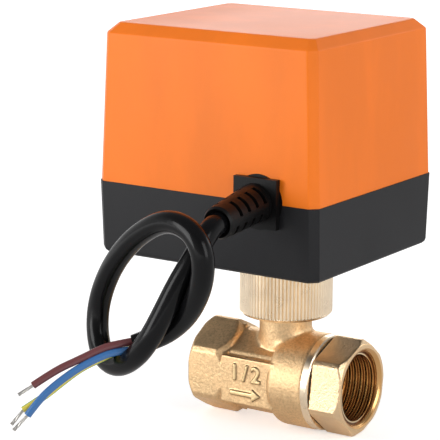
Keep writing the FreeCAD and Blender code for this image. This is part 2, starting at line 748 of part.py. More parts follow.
def make_union_nut():
    """A knurled nut: a ridged prism trimmed by a bevelled turned blank."""
    ridges = []
    high = float(s.nut_radius)
    low = high - float(s.knurl_depth)
    count = int(s.knurl_count.number)
    for index in range(count):
        for share, radius in ((0.0, high), (0.5, low)):
            angle = 2 * math.pi * (index + share) / count
            ridges.append(Vector(radius * math.cos(angle), radius * math.sin(angle), 0))
    wire = Part.makePolygon(ridges + ridges[:1])
    prism = Part.Face(wire).extrude(Vector(0, 0, float(s.nut_height)))
    prism.translate(Vector(0, 0, float(s.nut_bottom)))
    body = new_body("nut_blank")
    nut_top = s.nut_bottom + s.nut_height
    bevel = s.nut_edge_bevel
    inner = s.collar_thread_radius + s.nut_thread_clearance
    web_radius = s.neck_radius + s.nut_web_clearance
    turned(body, "blank", "XZ_Plane", (
        (web_radius, s.nut_bottom),
        (s.nut_radius - bevel, s.nut_bottom),
        (s.nut_radius, s.nut_bottom + bevel),
        (s.nut_radius, nut_top - bevel),
        (s.nut_radius - bevel, nut_top),
        (inner, nut_top),
        (inner, s.nut_bottom + s.nut_web),
        (web_radius, s.nut_bottom + s.nut_web),
    ), "V_Axis")
    return common(fixed_shape("knurl_prism", prism), body)


def make_snap_ring():
    low = s.nut_bottom + s.nut_web + s.nut_lift
    inner = s.neck_radius - s.snap_ring_groove
    whole = ring(s.snap_ring_radius, inner, s.snap_ring_height, 0, 0, low)
    gap = centred_block(
        s.snap_ring_gap, s.snap_ring_radius, s.snap_ring_height, 0, s.snap_ring_radius / 2, low,
    )
    return cut(whole, gap)


def bevelled_rectangle(length, width, bevel, middle_x):
    """Corners of a rectangle with cut corners."""
    half_x, half_y = length / 2, width / 2
    return (
        (middle_x - half_x + bevel, -half_y),
        (middle_x + half_x - bevel, -half_y),
        (middle_x + half_x, bevel - half_y),
        (middle_x + half_x, half_y - bevel),
        (middle_x + half_x - bevel, half_y),
        (middle_x - half_x + bevel, half_y),
        (middle_x - half_x, half_y - bevel),
        (middle_x - half_x, bevel - half_y),
    )


def lofted(body, name, sections, kind="PartDesign::AdditiveLoft"):
    """A straight-sided solid or cut through several level outlines."""
    sketches = []
    for index, (height, length, width, bevel) in enumerate(sections):
        corners = bevelled_rectangle(length, width, bevel, s.housing_x)
        sketches.append(outline(body, f"{name}_{index}", "XY_Plane", corners, height))
    feature = body.newObject(kind, name)
    feature.Profile = sketches[0]
    feature.Sections = sketches[1:]
    feature.Ruled = True
    doc.recompute()
    return feature


def edges_at_height(feature, height):
    """Names of the edges that lie level at a height."""
    names = []
    for index, edge in enumerate(feature.Shape.Edges, start=1):
        box = edge.BoundBox
        if abs(box.ZMin - height) < 0.001 and abs(box.ZMax - height) < 0.001:
            names.append(f"Edge{index}")
    return names


def standing_edges(feature):
    """Names of the edges that run up the housing's sides."""
    names = []
    for index, edge in enumerate(feature.Shape.Edges, start=1):
        if edge.BoundBox.ZLength > 0.5:
            names.append(f"Edge{index}")
    return names


def rounded(body, name, feature, edges, radius):
    """Round some edges of a body."""
    item = body.newObject("PartDesign::Fillet", name)
    item.Base = (feature, edges)
    bind(item, "Radius", radius)
    doc.recompute()
    return item


def post_places():
    for side_x in (-1, 1):
        for side_y in (-1, 1):
            yield (s.housing_x + (s.seam_length / 2 - s.post_inset) * side_x,
                   (s.seam_width / 2 - s.post_inset) * side_y)


def gland_hole():
    """The round hole in the front wall that the strain relief fills."""
    return cylinder(
        s.gland_hole_radius, 4 * s.wall, gland_x, 2 * s.wall - s.seam_width / 2, gland_z,
        ALONG_MINUS_Y,
    )


def make_base_shell():
    """Tapered tray with rounded foot, screw wells, a rim groove and the threaded collar."""
    body = new_body("base_tray")
    bevel = s.corner_bevel
    # The foot is a quarter round, taken in three level steps.
    sections = []
    for step in range(4):
        turn = math.radians(30 * step)
        inset = 2 * s.foot_round * (1 - math.sin(turn))
        height = s.base_bottom + s.foot_round * (1 - math.cos(turn))
        sections.append((height, bottom_length - inset, bottom_width - inset, bevel))
    sections.append((s.seam, s.seam_length, s.seam_width, bevel))
    lofted(body, "outer_form", sections)
    hollow = new_body("base_hollow")
    lofted(hollow, "hollow_form", (
        (s.base_bottom + s.floor_height, bottom_length - 2 * s.wall,
         bottom_width - 2 * s.wall, bevel),
        (s.seam + 1, s.seam_length - 2 * s.wall, s.seam_width - 2 * s.wall, bevel),
    ))
    tray = cut(body, hollow)
    height = s.seam - s.base_bottom
    posts, wells = [], []
    well_radius = s.screw_head_radius + s.screw_head_clearance
    hole_radius = s.screw_radius + s.screw_clearance
    for x, y in post_places():
        posts.append(cylinder(s.post_radius, height - s.foot_round, x, y, s.base_bottom + s.foot_round))
        wells.append(cylinder(well_radius, screw_seat - s.base_bottom, x, y, s.base_bottom))
        wells.append(cylinder(hole_radius, height, x, y, s.base_bottom))
    collar_height = s.base_bottom + s.floor_height - s.collar_low
    collar = cylinder(s.collar_thread_radius, collar_height, 0, 0, s.collar_low)
    boss = cone(s.collar_thread_radius, s.collar_thread_radius + s.collar_root, s.collar_root,
                0, 0, s.base_bottom - s.collar_root)
    neck_socket = double_flat(
        s.neck_radius + s.neck_clearance, s.neck_flats + 2 * s.neck_clearance,
        s.neck_top - s.collar_low + s.neck_headroom, s.collar_low,
    )
    shaft_way = cylinder(s.bush_radius, s.base_bottom + s.floor_height - s.neck_top, 0, 0, s.neck_top)
    groove = rim_ring(s.seam - s.seal_height, s.seal_height)
    return cut(fuse(tray, collar, boss, *posts), neck_socket, shaft_way, groove, gland_hole(), *wells)


def level_prism(name, length, width, bevel, low, height):
    """A straight prism with cut corners about the housing's middle."""
    body = new_body(name)
    corners = bevelled_rectangle(length, width, bevel, s.housing_x)
    pushed(body, name + "_prism", "XY_Plane", corners, low, height)
    return body


def rim_ring(low, height):
    """The band in the middle of the rim where the housing seal lies."""
    inset = s.wall - s.seal_width
    outer = level_prism("rim_outer", s.seam_length - inset, s.seam_width - inset,
                        s.corner_bevel, low, height)
    inner = level_prism("rim_inner", s.seam_length - inset - 2 * s.seal_width,
                        s.seam_width - inset - 2 * s.seal_width, s.corner_bevel, low, height)
    return cut(outer, inner)


def make_housing_seal():
    return cut(rim_ring(s.seam - s.seal_height, s.seal_height), gland_hole())


def make_cover_shell():
    """Tapered hood with a bevelled top, screw posts inside and half of the gland's hole."""
    body = new_body("cover_hood")
    wall = s.wall
    lofted(body, "outer_form", (
        (s.seam, cover_length, cover_width, s.corner_bevel),
        (s.shoulder, shoulder_length, shoulder_width, s.corner_bevel),
    ))
    top = lofted(body, "bevelled_top", (
        (s.shoulder, shoulder_length, shoulder_width, s.corner_bevel),
        (s.housing_top, top_length, top_width, s.top_corner_bevel),
    ))
    edges = standing_edges(top)
    for height in (s.shoulder, s.housing_top):
        edges = edges + edges_at_height(top, float(height))
    rounded(body, "soft_edges", top, edges, s.edge_round)
    lofted(body, "hollow", (
        (s.seam - 1, s.seam_length - 2 * wall, s.seam_width - 2 * wall, s.corner_bevel),
        (s.shoulder - 1, shoulder_length - 2 * wall, shoulder_width - 2 * wall, s.corner_bevel),
    ), "PartDesign::SubtractiveLoft")
    posts, holes = [], []
    for x, y in post_places():
        posts.append(cylinder(s.post_radius, s.shoulder - s.seam, x, y, s.seam))
        holes.append(cylinder(s.screw_radius, s.screw_length, x, y, s.seam))
    # The posts run into the walls and no further.
    mid_wall = new_body("mid_wall_form")
    lofted(mid_wall, "trim_form", (
        (s.seam, s.seam_length - wall, s.seam_width - wall, s.corner_bevel),
        (s.shoulder, shoulder_length - wall, shoulder_width - wall, s.corner_bevel),
    ))
    trimmed_posts = common(fuse(*posts), mid_wall)
    return cut(fuse(body, trimmed_posts), gland_hole(), *holes)


def make_cover_screws():
    screws = []
    for x, y in post_places():
        head = cylinder(s.screw_head_radius, s.screw_head_height, x, y,
                        screw_seat - s.screw_head_height)
        shank = cylinder(s.screw_radius, s.screw_length, x, y, screw_seat)
        slot = centred_block(2 * s.screw_head_radius, s.screw_slot_width, s.screw_slot_depth, x, y,
                             screw_seat - s.screw_head_height)
        screws.append(cut(fuse(head, shank), slot))
    return group(*screws)


def boot_turn():
    """The boot's own Z axis along -Y, drooping a little and turned towards +X."""
    droop = Rotation(Vector(1, 0, 0), 90 + float(s.boot_droop))
    return Rotation(Vector(0, 0, 1), float(s.boot_yaw)).multiply(droop)


def boot_end():
    """Where the boot's axis ends."""
    plate_face = -float(s.seam_width) / 2 - float(s.gland_plate_proud)
    root = Vector(float(gland_x), plate_face, float(gland_z))
    return root + boot_turn().multVec(Vector(0, 0, float(s.boot_length)))


def make_strain_relief():
    """Square plate, slotted boot and inner flange in one rubber moulding."""
    half = s.gland_plate / 2
    wall_face = -s.seam_width / 2
    plate = block(s.gland_plate, s.gland_plate_proud, s.gland_plate,
                  gland_x - half, wall_face - s.gland_plate_proud, gland_z - half)
    neck = s.wall + s.gland_neck_play
    through = cylinder(s.gland_hole_radius, neck, gland_x, wall_face + neck, gland_z, ALONG_MINUS_Y)
    inner = cylinder(s.gland_inner_radius, s.gland_inner_height, gland_x,
                     wall_face + neck + s.gland_inner_height, gland_z, ALONG_MINUS_Y)
    turn = boot_turn()
    root = boot_end() - turn.multVec(Vector(0, 0, float(s.boot_length)))
    length, tip = float(s.boot_length), float(s.boot_tip)
    low, high = float(s.boot_radius), float(s.boot_end_radius)
    boot = Part.makeCone(low, high, length - tip)
    boot = boot.fuse(Part.makeCone(high, high - float(s.boot_tip_drop), tip, Vector(0, 0, length - tip)))
    # Its root reaches into the plate, as far as the droop needs.
    boot = boot.fuse(Part.makeCylinder(low, 2 * tip, Vector(0, 0, -tip)))
    slot_width, depth, span = (float(v) for v in (s.boot_slot_width, s.boot_slot_depth, s.boot_slot_span))
    pitch = float(s.boot_slot_pitch)
    cutters = []
    for column in range(4):
        start = float(s.boot_slot_start) + (pitch / 2 if column % 2 else 0.0)
        for row in range(4):
            z = start + pitch * row
            radius = low + (high - low) * z / length
            sector = Part.makeCylinder(radius + 1, slot_width, Vector(0, 0, z), Vector(0, 0, 1), span)
            core = Part.makeCylinder(radius - depth, slot_width, Vector(0, 0, z))
            sector.rotate(Vector(0, 0, 0), Vector(0, 0, 1), 90 * column + 45 - span / 2)
            cutters.append(sector.cut(core))
    boot = boot.cut(cutters)
    entry, mouth = float(s.cord_entry), float(s.boot_mouth)
    bore = float(s.cord_diameter) / 2 + float(s.cord_clearance)
    boot = boot.cut(Part.makeCylinder(bore, entry + 1, Vector(0, 0, length - entry)))
    boot = boot.cut(Part.makeCone(bore, high, mouth, Vector(0, 0, length - mouth)))
    boot.Placement = Placement(root, turn)
    return fuse(plate, through, inner, fixed_shape("boot_form", boot))


def rounded_path(points, name):
    """Straight runs joined by tangent arcs, each as large as its two runs allow."""
    points = [Vector(*point) for point in points]
    edges, radii = [], []
    start = points[0]
    for before, corner, after in zip(points, points[1:], points[2:]):
        back, ahead = before - corner, after - corner
        trim = 0.45 * min(back.Length, ahead.Length)
        half_turn = (math.pi - back.getAngle(ahead)) / 2
        radii.append(trim / math.tan(half_turn))
        back.normalize()
        ahead.normalize()
        first, last = corner + back * trim, corner + ahead * trim
        inward = back + ahead
        inward.normalize()
        middle = corner + inward * (radii[-1] * (1 / math.cos(half_turn) - 1))
        edges.append(Part.LineSegment(start, first).toShape())
        edges.append(Part.Arc(first, middle, last).toShape())
        start = last
    edges.append(Part.LineSegment(start, points[-1]).toShape())
    wire = Part.Wire(edges)
    print(f"{name}: length {wire.Length:.1f}, smallest radius {min(radii):.1f}, radii",
          " ".join(f"{radius:.0f}" for radius in radii))
    return wire


def tube(points, diameter, name):
    """A round tube along a path, checked against section times length."""
    wire = rounded_path(points, name)
    start = Vector(*points[0])
    direction = Vector(*points[1]) - start
    section = Part.Wire(Part.makeCircle(diameter / 2, start, direction))
    shape = wire.makePipeShell([section], True, False)
    expected = math.pi * diameter ** 2 / 4 * wire.Length
    if abs(shape.Volume / expected - 1) > 0.02:
        raise RuntimeError(f"{name}: tube volume {shape.Volume:.1f}, expected {expected:.1f}")
    return shape


def jacket_points():
    """The route from inside the boot's end."""
    axis = boot_turn().multVec(Vector(0, 0, 1))
    inside = boot_end() - axis * (float(s.cord_entry) - float(s.strand_gap))
    leaving = boot_end() + axis * float(s.boot_tip)
    return [tuple(inside), tuple(leaving)] + list(JACKET_ROUTE)


def bare_wire(route):
    """The stripped end of a core, as one straight rod."""
    start, end = Vector(*route[-2]), Vector(*route[-1])
    direction = end - start
    radius = float(s.strand_diameter) / 2
    direction.normalize()
    start = start + direction * float(s.strand_gap)
    return Part.makeCylinder(radius, (end - start).Length, start, direction)


def gear_profile(teeth, backlash):
    """An involute gear's outline about the origin, with a tooth on +X."""
    pitch = module * teeth / 2
    base = pitch * math.cos(math.radians(20))
    tip = pitch + 0.85 * module
    root = pitch - 1.1 * module
    involute_at_pitch = math.tan(math.acos(base / pitch)) - math.acos(base / pitch)
    half_tooth = math.pi / (2 * teeth) - backlash / (2 * pitch)

    def flank_angle(radius):
        """Half the tooth's angle at a radius."""
        if radius <= base:
            return half_tooth + involute_at_pitch
        pressure = math.acos(base / radius)
        return half_tooth + involute_at_pitch - (math.tan(pressure) - pressure)

    def at(radius, angle):
        return Vector(radius * math.cos(angle), radius * math.sin(angle), 0)

    flank_start = max(base, root)
    middle = (flank_start + tip) / 2
    edges = []
    step = 2 * math.pi / teeth
    for index in range(teeth):
        centre = step * index
        low_half, mid_half, tip_half = (flank_angle(r) for r in (flank_start, middle, tip))
        rise = [at(flank_start, centre - low_half), at(middle, centre - mid_half), at(tip, centre - tip_half)]
        fall = [at(tip, centre + tip_half), at(middle, centre + mid_half), at(flank_start, centre + low_half)]
        edges.append(Part.Arc(*rise).toShape())
        edges.append(Part.Arc(rise[2], at(tip, centre), fall[0]).toShape())
        edges.append(Part.Arc(*fall).toShape())
        foot = centre + low_half
        next_foot = centre + step - low_half
        if root < flank_start:
            edges.append(Part.LineSegment(fall[2], at(root, foot)).toShape())
        edges.append(Part.Arc(at(root, foot), at(root, centre + step / 2), at(root, next_foot)).toShape())
        if root < flank_start:
            edges.append(Part.LineSegment(at(root, next_foot), at(flank_start, next_foot)).toShape())
    return Part.Face(Part.Wire(edges))


def toothed(teeth, low, height, x, y, turn):
    """A straight-toothed disc, turned about its own axis by an angle in degrees."""
    face = gear_profile(teeth, float(s.gear_backlash))
    shape = face.extrude(Vector(0, 0, height))
    shape.Placement = Placement(Vector(x, y, low), Rotation(Vector(0, 0, 1), turn))
    return shape


def offset_point(origin, distance, angle):
    radians = math.radians(angle)
    return (origin[0] + distance * math.cos(radians), origin[1] + distance * math.sin(radians))


def mesh_turn(teeth, driver_teeth, driver_turn, angle):
    """The turn that puts a gear in mesh with a driver that lies at an angle behind it."""
    # A driver tooth that stands off the line of centres meets the gap that stands off it as far.
    driver_phase = ((angle - driver_turn) / (360 / driver_teeth)) % 1
    gear_phase = 0.5 - driver_phase
    return angle + 180 - gear_phase * 360 / teeth


# The gear train's places, from the output gear back to the motor.
pinion_teeth = int(s.pinion_teeth.number)
wheel_teeth = int(s.wheel_teeth.number)
output_teeth = int(s.output_teeth.number)
module = float(gear_module)
second_place = offset_point((0, 0), module * (output_teeth + pinion_teeth) / 2, float(s.second_angle))
first_place = offset_point(second_place, module * (wheel_teeth + pinion_teeth) / 2, float(s.first_angle))
motor_place = offset_point(first_place, module * (wheel_teeth + pinion_teeth) / 2, float(s.motor_angle))
second_pinion_turn = mesh_turn(pinion_teeth, output_teeth, 0.0, float(s.second_angle))
first_pinion_turn = mesh_turn(pinion_teeth, wheel_teeth, 0.0, float(s.first_angle))
motor_pinion_turn = mesh_turn(pinion_teeth, wheel_teeth, 0.0, float(s.motor_angle))


def compound_gear(place_xy, pinion_low, wheel_low, pinion_turn):
    """A pinion and a wheel on one hub, running on a fixed pin."""
    x, y = place_xy
    low = float(s.plate_low) + float(s.plate_thickness) + float(s.end_float)
    high = float(s.plate_high) - float(s.end_float)
    hub = Part.makeCylinder(float(s.hub_radius), high - low, Vector(x, y, low))
    wheel = toothed(wheel_teeth, float(wheel_low), float(s.gear_height), x, y, 0.0)
    pinion_height = float(wheel_low) - float(pinion_low)
    pinion = toothed(pinion_teeth, float(pinion_low), pinion_height, x, y, pinion_turn)
    bore = Part.makeCylinder(float(s.axle_radius) + float(s.axle_clearance), high - low, Vector(x, y, low))
    return fixed_shape("compound", hub.fuse([wheel, pinion]).cut(bore).removeSplitter())


def make_axle(place_xy):
    x, y = place_xy
    return cylinder(s.axle_radius, s.plate_high - s.plate_low + s.plate_thickness, x, y, s.plate_low)


def gear_plate(low, *holes):
    plate = block(plate_right - plate_left, 2 * s.plate_half_width, s.plate_thickness,
                  plate_left, -s.plate_half_width, low)
    drills = [cylinder(radius, s.plate_thickness, x, y, low) for x, y, radius in holes]
    return cut(plate, *drills)


def pillar_places():
    for x in (plate_left + s.pillar_inset_low, plate_right - s.pillar_inset_high):
        for y in (-s.pillar_y, s.pillar_y):
            yield x, y


def make_pillars(low, high):
    return group(*[cylinder(s.pillar_radius, high - low, x, y, low) for x, y in pillar_places()])


def ear_places():
    for turn in (0, 180):
        yield offset_point(motor_place, float(motor_ear_reach), float(s.motor_ear_angle) + turn)


motor_base = s.plate_high + s.plate_thickness


def make_motor():
    x, y = motor_place
    can = cylinder(motor_radius, s.motor_height, x, y, motor_base)
    ears = [cylinder(s.motor_ear_radius, s.motor_ear_height, ex, ey, motor_base) for ex, ey in ear_places()]
    reach, half_width = float(motor_ear_reach), float(s.motor_ear_radius)
    strap = Part.makeBox(2 * reach, 2 * half_width, float(s.motor_ear_height), Vector(-reach, -half_width, 0))
    strap.Placement = Placement(Vector(x, y, float(motor_base)),
                                Rotation(Vector(0, 0, 1), float(s.motor_ear_angle)))
    rear_boss = cylinder(s.motor_boss_radius, s.motor_boss_height, x, y, motor_base + s.motor_height)
    holes = [
        cylinder(s.motor_screw_radius, s.motor_ear_height, ex, ey, motor_base) for ex, ey in ear_places()
    ]
    shaft_hole = cylinder(s.axle_radius + s.motor_shaft_clearance, s.motor_height - s.motor_shaft_inset / 2,
                          x, y, motor_base)
    whole = fuse(can, fixed_shape("ear_strap", strap), rear_boss, *ears)
    return cut(whole, shaft_hole, *holes)


def make_motor_screws():
    screws = []
    for x, y in ear_places():
        head = cylinder(s.motor_screw_head_radius, s.motor_screw_head, x, y,
                        motor_base + s.motor_ear_height)
        shank_low = s.plate_high - s.motor_screw_reach
        shank = cylinder(s.motor_screw_radius, motor_base + s.motor_ear_height - shank_low, x, y, shank_low)
        screws.append(fuse(head, shank))
    return group(*screws)


def make_motor_pinion():
    x, y = motor_place
    low = float(s.first_level) - float(s.pinion_overlap)
    height = float(s.gear_height) + 2 * float(s.pinion_overlap)
    pinion = toothed(pinion_teeth, low, height, x, y, motor_pinion_turn)
    shaft_height = float(motor_base) + float(s.motor_height) - float(s.motor_shaft_inset) - low
    shaft = Part.makeCylinder(float(s.axle_radius), shaft_height, Vector(x, y, low))
    return fixed_shape("motor_pinion_form", pinion.fuse(shaft))


def make_output_shaft():
    cam_seat_low = s.cam_low - s.cam_gap
    middle_low = s.shaft_step + s.gear_height
    lower = cylinder(s.shaft_radius, s.shaft_step - s.shaft_bottom, 0, 0, s.shaft_bottom)
    seat = double_flat(s.gear_seat_radius, s.gear_seat_flats, s.gear_height + s.shaft_seat_spare,
                       s.shaft_step)
    middle = cylinder(s.shaft_thin_radius, cam_seat_low - middle_low, 0, 0, middle_low)
    cam_seat = double_flat(s.shaft_thin_radius, s.shaft_flats, s.shaft_top - cam_seat_low, cam_seat_low)
    play = s.socket_clearance
    socket = double_flat(s.stem_radius + play, s.drive_flats + 2 * play, s.socket_depth, s.shaft_bottom)
    return cut(fuse(lower, seat, middle, cam_seat), socket)


def make_output_gear():
    gear = toothed(output_teeth, float(s.output_level), float(s.gear_height), 0, 0, 0.0)
    bore = double_flat(s.gear_seat_radius, s.gear_seat_flats, s.gear_height, s.output_level)
    return cut(fixed_shape("output_teeth_form", gear), bore)


def make_output_bush():
    floor_top = s.base_bottom + s.floor_height
    sleeve = cylinder(s.bush_radius, floor_top - s.bush_bottom, 0, 0, s.bush_bottom)
    flange = cylinder(s.bush_flange_radius, s.bush_flange_height, 0, 0, floor_top)
    bore = cylinder(s.shaft_radius + s.shaft_clearance,
                    floor_top + s.bush_flange_height - s.bush_bottom, 0, 0, s.bush_bottom)
    return cut(fuse(sleeve, flange), bore)


def cam_outline(start_angle, rising):
    """A disc whose radius changes evenly over the quarter turn that meets its plunger."""
    high = float(s.cam_radius)
    rise = float(s.cam_rise)
    steps = 12
    points = []
    for index in range(steps + 1):
        share = index / steps
        radius = high - rise * (share if rising else 1 - share)
        angle = math.radians(start_angle - 90 * share)
        points.append(Vector(radius * math.cos(angle), radius * math.sin(angle), 0))
    curve = Part.BSplineCurve()
    curve.interpolate(points)
    first, last = points[0], points[-1]
    back_angle = math.radians(start_angle + 135)
    back_radius = high - rise
    back = Vector(back_radius * math.cos(back_angle), back_radius * math.sin(back_angle), 0)
    edges = [curve.toShape(), Part.Arc(last, back, first).toShape()]
    return Part.Face(Part.Wire(edges))


def make_cam(low, start_angle, rising):
    shape = cam_outline(start_angle, rising).extrude(Vector(0, 0, float(s.cam_height)))
    shape.translate(Vector(0, 0, float(low)))
    bore = double_flat(s.shaft_thin_radius, s.shaft_flats, s.cam_height, low)
    return cut(fixed_shape("cam_form", shape), bore)


board_top = s.board_low + s.board_thickness


def make_board():
    board = block(board_right - plate_left, 2 * s.board_half_width, s.board_thickness,
                  plate_left, -s.board_half_width, s.board_low)
    return cut(board, cylinder(s.board_hole_radius, s.board_thickness, 0, 0, s.board_low))


def switch_level(side):
    """The lower cam works the switch on +X, the upper cam the one on -X."""
    return s.cam_low + s.cam_height / 2 + (s.cam_height + s.cam_gap if side < 0 else 0)


def make_switch(side):
    near = s.switch_distance if side > 0 else -s.switch_distance - s.switch_depth
    level = switch_level(side)
    low = board_top
    height = level + s.switch_height / 2 - low
    case = block(s.switch_depth, s.switch_length, height, near, -s.switch_length / 2, low)
    hole_start = s.switch_distance * side
    hole_depth = s.plunger_length + s.cam_rise
    hole_low = hole_start if side > 0 else hole_start - hole_depth
    hole = cylinder(s.plunger_radius + s.plunger_clearance, hole_depth, hole_low, 0, level, ALONG_X)
    return cut(case, hole)


def make_plunger(side):
    """The lower plunger is pressed at rest, the upper one is out."""
    level = switch_level(side)
    tip = s.cam_radius + s.cam_clearance if side > 0 else s.cam_radius - s.cam_rise + s.cam_clearance
    low = tip if side > 0 else -tip - s.plunger_length
    return cylinder(s.plunger_radius, s.plunger_length, low, 0, level, ALONG_X)


def make_terminal_block():
    body = centred_block(s.terminal_length, s.terminal_width, s.terminal_height,
                         s.terminal_x, s.terminal_y, board_top)
    pockets = []
    entry = s.terminal_entry
    for index in (-1, 0, 1):
        x = s.terminal_x + index * s.terminal_pitch
        pockets.append(cylinder(s.terminal_screw_radius, s.terminal_height / 2, x, s.terminal_y,
                                board_top + s.terminal_height / 2))
        pockets.append(block(entry, s.terminal_entry_depth, entry, x - entry / 2,
                             s.terminal_y - s.terminal_width / 2, board_top + s.terminal_entry_floor))
    return cut(body, *pockets)


def build():
    piece("valve_body", make_valve_body())
    piece("end_connector", make_end_connector())
    piece("body_seal", make_body_seal())
    piece("seat_inlet", make_seat(-1))
    piece("seat_outlet", make_seat(1))
    piece("ball", make_ball())
    piece("stem", make_stem())
    piece("stem_o_rings", make_stem_rings())
    piece("thrust_washer", make_thrust_washer())
    piece("union_nut", make_union_nut())
    piece("snap_ring", make_snap_ring())
    piece("base_shell", make_base_shell())
    piece("cover_shell", make_cover_shell())
    piece("housing_seal", make_housing_seal())
    piece("cover_screws", make_cover_screws())
    piece("strain_relief", make_strain_relief())
    points = jacket_points()
    jacket = tube(points, float(s.cord_diameter), "cord_jacket")
    piece("cord_jacket", fixed_shape("jacket_tube", jacket))
    for name, route in CORE_ROUTES.items():
        shape = tube(route[:-1], float(s.core_diameter), name)
        piece(name, fixed_shape(name + "_tube", shape))
    wires = [bare_wire(route) for route in CORE_ROUTES.values()]
    piece("bare_wire_ends", fixed_shape("wires", Part.makeCompound(wires)))
    shaft_hole = (0, 0, s.shaft_radius + s.plate_shaft_clearance)
    top_hole = (0, 0, s.shaft_thin_radius + s.shaft_clearance)
    axles = [(*spot, s.axle_radius) for spot in (first_place, second_place)]
    motor_hole = (*motor_place, s.axle_radius + s.motor_shaft_clearance)
    screw_holes = [(*spot, s.motor_screw_radius) for spot in ear_places()]
    piece("lower_gear_plate", gear_plate(s.plate_low, shaft_hole, *axles))
    piece("upper_gear_plate", gear_plate(s.plate_high, top_hole, motor_hole, *axles, *screw_holes))
    piece("floor_pillars", make_pillars(s.base_bottom + s.floor_height, s.plate_low))
    piece("plate_pillars", make_pillars(s.plate_low + s.plate_thickness, s.plate_high))
    piece("board_pillars", make_pillars(s.plate_high + s.plate_thickness, s.board_low))
    piece("gear_axle_1", make_axle(first_place))
    piece("gear_axle_2", make_axle(second_place))
    overlap = s.pinion_overlap
    piece("compound_gear_1", compound_gear(
        first_place, s.second_level - overlap, s.first_level, first_pinion_turn))
    piece("compound_gear_2", compound_gear(
        second_place, s.output_level - overlap, s.second_level, second_pinion_turn))
    piece("motor", make_motor())
    piece("motor_screws", make_motor_screws())
    piece("motor_pinion", make_motor_pinion())
    piece("output_shaft", make_output_shaft())
    piece("output_gear", make_output_gear())
    piece("output_bush", make_output_bush())
    piece("cam_open", make_cam(s.cam_low, 0.0, True))
    piece("cam_closed", make_cam(s.cam_low + s.cam_height + s.cam_gap, 180.0, False))
    piece("circuit_board", make_board())
    piece("switch_open", make_switch(1))
    piece("switch_closed", make_switch(-1))
    piece("plunger_open", make_plunger(1))
    piece("plunger_closed", make_plunger(-1))
    piece("capacitor", cylinder(s.capacitor_radius, s.capacitor_height, s.capacitor_x, s.capacitor_y,
                                board_top))
    piece("terminal_block", make_terminal_block())


def check_document():
    doc.recompute()
    for item in doc.Objects:
        if "Invalid" in item.State or "Error" in item.State:
            raise RuntimeError(f"{item.Label} failed: {item.State}")
    for item in pieces:
        if item.Shape.isNull() or not item.Shape.isValid() or item.Shape.Volume <= 0:
            raise RuntimeError(f"{item.Label} has no valid shape")


def export():
    os.makedirs("parts", exist_ok=True)
    for item in pieces:
        item.Shape.exportStep(f"parts/{item.Label}.step")


build()
check_document()
export()
print(f"{len(pieces)} pieces")
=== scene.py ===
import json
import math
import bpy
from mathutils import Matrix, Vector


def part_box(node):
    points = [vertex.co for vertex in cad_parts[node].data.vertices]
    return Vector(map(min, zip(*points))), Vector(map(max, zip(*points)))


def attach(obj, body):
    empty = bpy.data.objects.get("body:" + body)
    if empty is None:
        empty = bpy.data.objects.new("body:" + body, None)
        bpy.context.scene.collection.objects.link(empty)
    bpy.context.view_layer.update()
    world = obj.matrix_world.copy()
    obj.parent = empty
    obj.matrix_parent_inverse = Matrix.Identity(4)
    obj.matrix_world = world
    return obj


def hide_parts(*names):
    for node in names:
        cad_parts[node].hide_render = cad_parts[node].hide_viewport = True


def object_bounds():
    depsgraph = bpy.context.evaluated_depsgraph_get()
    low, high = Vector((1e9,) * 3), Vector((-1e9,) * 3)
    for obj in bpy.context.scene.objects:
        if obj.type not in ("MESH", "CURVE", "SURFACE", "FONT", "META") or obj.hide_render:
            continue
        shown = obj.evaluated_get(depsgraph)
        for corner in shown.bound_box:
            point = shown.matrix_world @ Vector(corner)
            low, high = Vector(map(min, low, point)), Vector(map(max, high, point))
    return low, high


bl_info = {
    "name": "Motorized ball valve",
    "version": (1, 0, 0),
    "blender": (4, 5, 0),
    "location": "3D View > Sidebar > Valve",
    "description": "Dresses a small motorized brass ball valve and sets up a studio for it",
    "category": "Object",
}

import bmesh
import bpy
from bpy.props import FloatProperty, FloatVectorProperty, IntProperty, PointerProperty
from mathutils import Matrix, Vector

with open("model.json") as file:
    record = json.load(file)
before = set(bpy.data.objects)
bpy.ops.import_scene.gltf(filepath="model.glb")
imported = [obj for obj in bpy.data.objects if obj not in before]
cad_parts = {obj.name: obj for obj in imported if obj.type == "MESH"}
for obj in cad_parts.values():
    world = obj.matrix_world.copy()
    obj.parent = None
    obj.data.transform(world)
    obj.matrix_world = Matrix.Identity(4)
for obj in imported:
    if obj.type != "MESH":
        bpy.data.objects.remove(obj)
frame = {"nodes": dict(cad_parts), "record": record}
CAD_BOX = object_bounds()
NODES = frame["nodes"]

MM = 0.001
# The jacket's line: inside the boot's end, out of it, down, round one loose loop, behind itself.
JACKET_ROUTE = (
    (11.86, -50.9, 56.4), (12.12, -55.9, 55.9),
    (12.1, -59.6, 53.8), (11.5, -62.6, 50.2), (10.1, -65.1, 45.9), (8.2, -67.4, 41.0),
    (6.2, -69.6, 35.1), (3.3, -71.6, 28.1), (-2.0, -71.1, 21.5), (-9.7, -68.8, 17.1),
    (-16.5, -66.0, 18.2), (-20.2, -63.4, 23.3), (-20.8, -62.2, 30.4), (-18.2, -62.4, 38.0),
    (-12.9, -63.7, 45.8), (-4.9, -65.4, 53.4), (4.9, -67.2, 58.6), (13.6, -69.0, 57.7),
    (18.3, -70.0, 52.6), (17.8, -69.1, 45.6), (14.3, -67.0, 38.6), (9.0, -64.9, 32.3),
    (3.6, -64.4, 27.9), (-0.7, -65.7, 25.6), (-4.3, -68.3, 23.8),
)
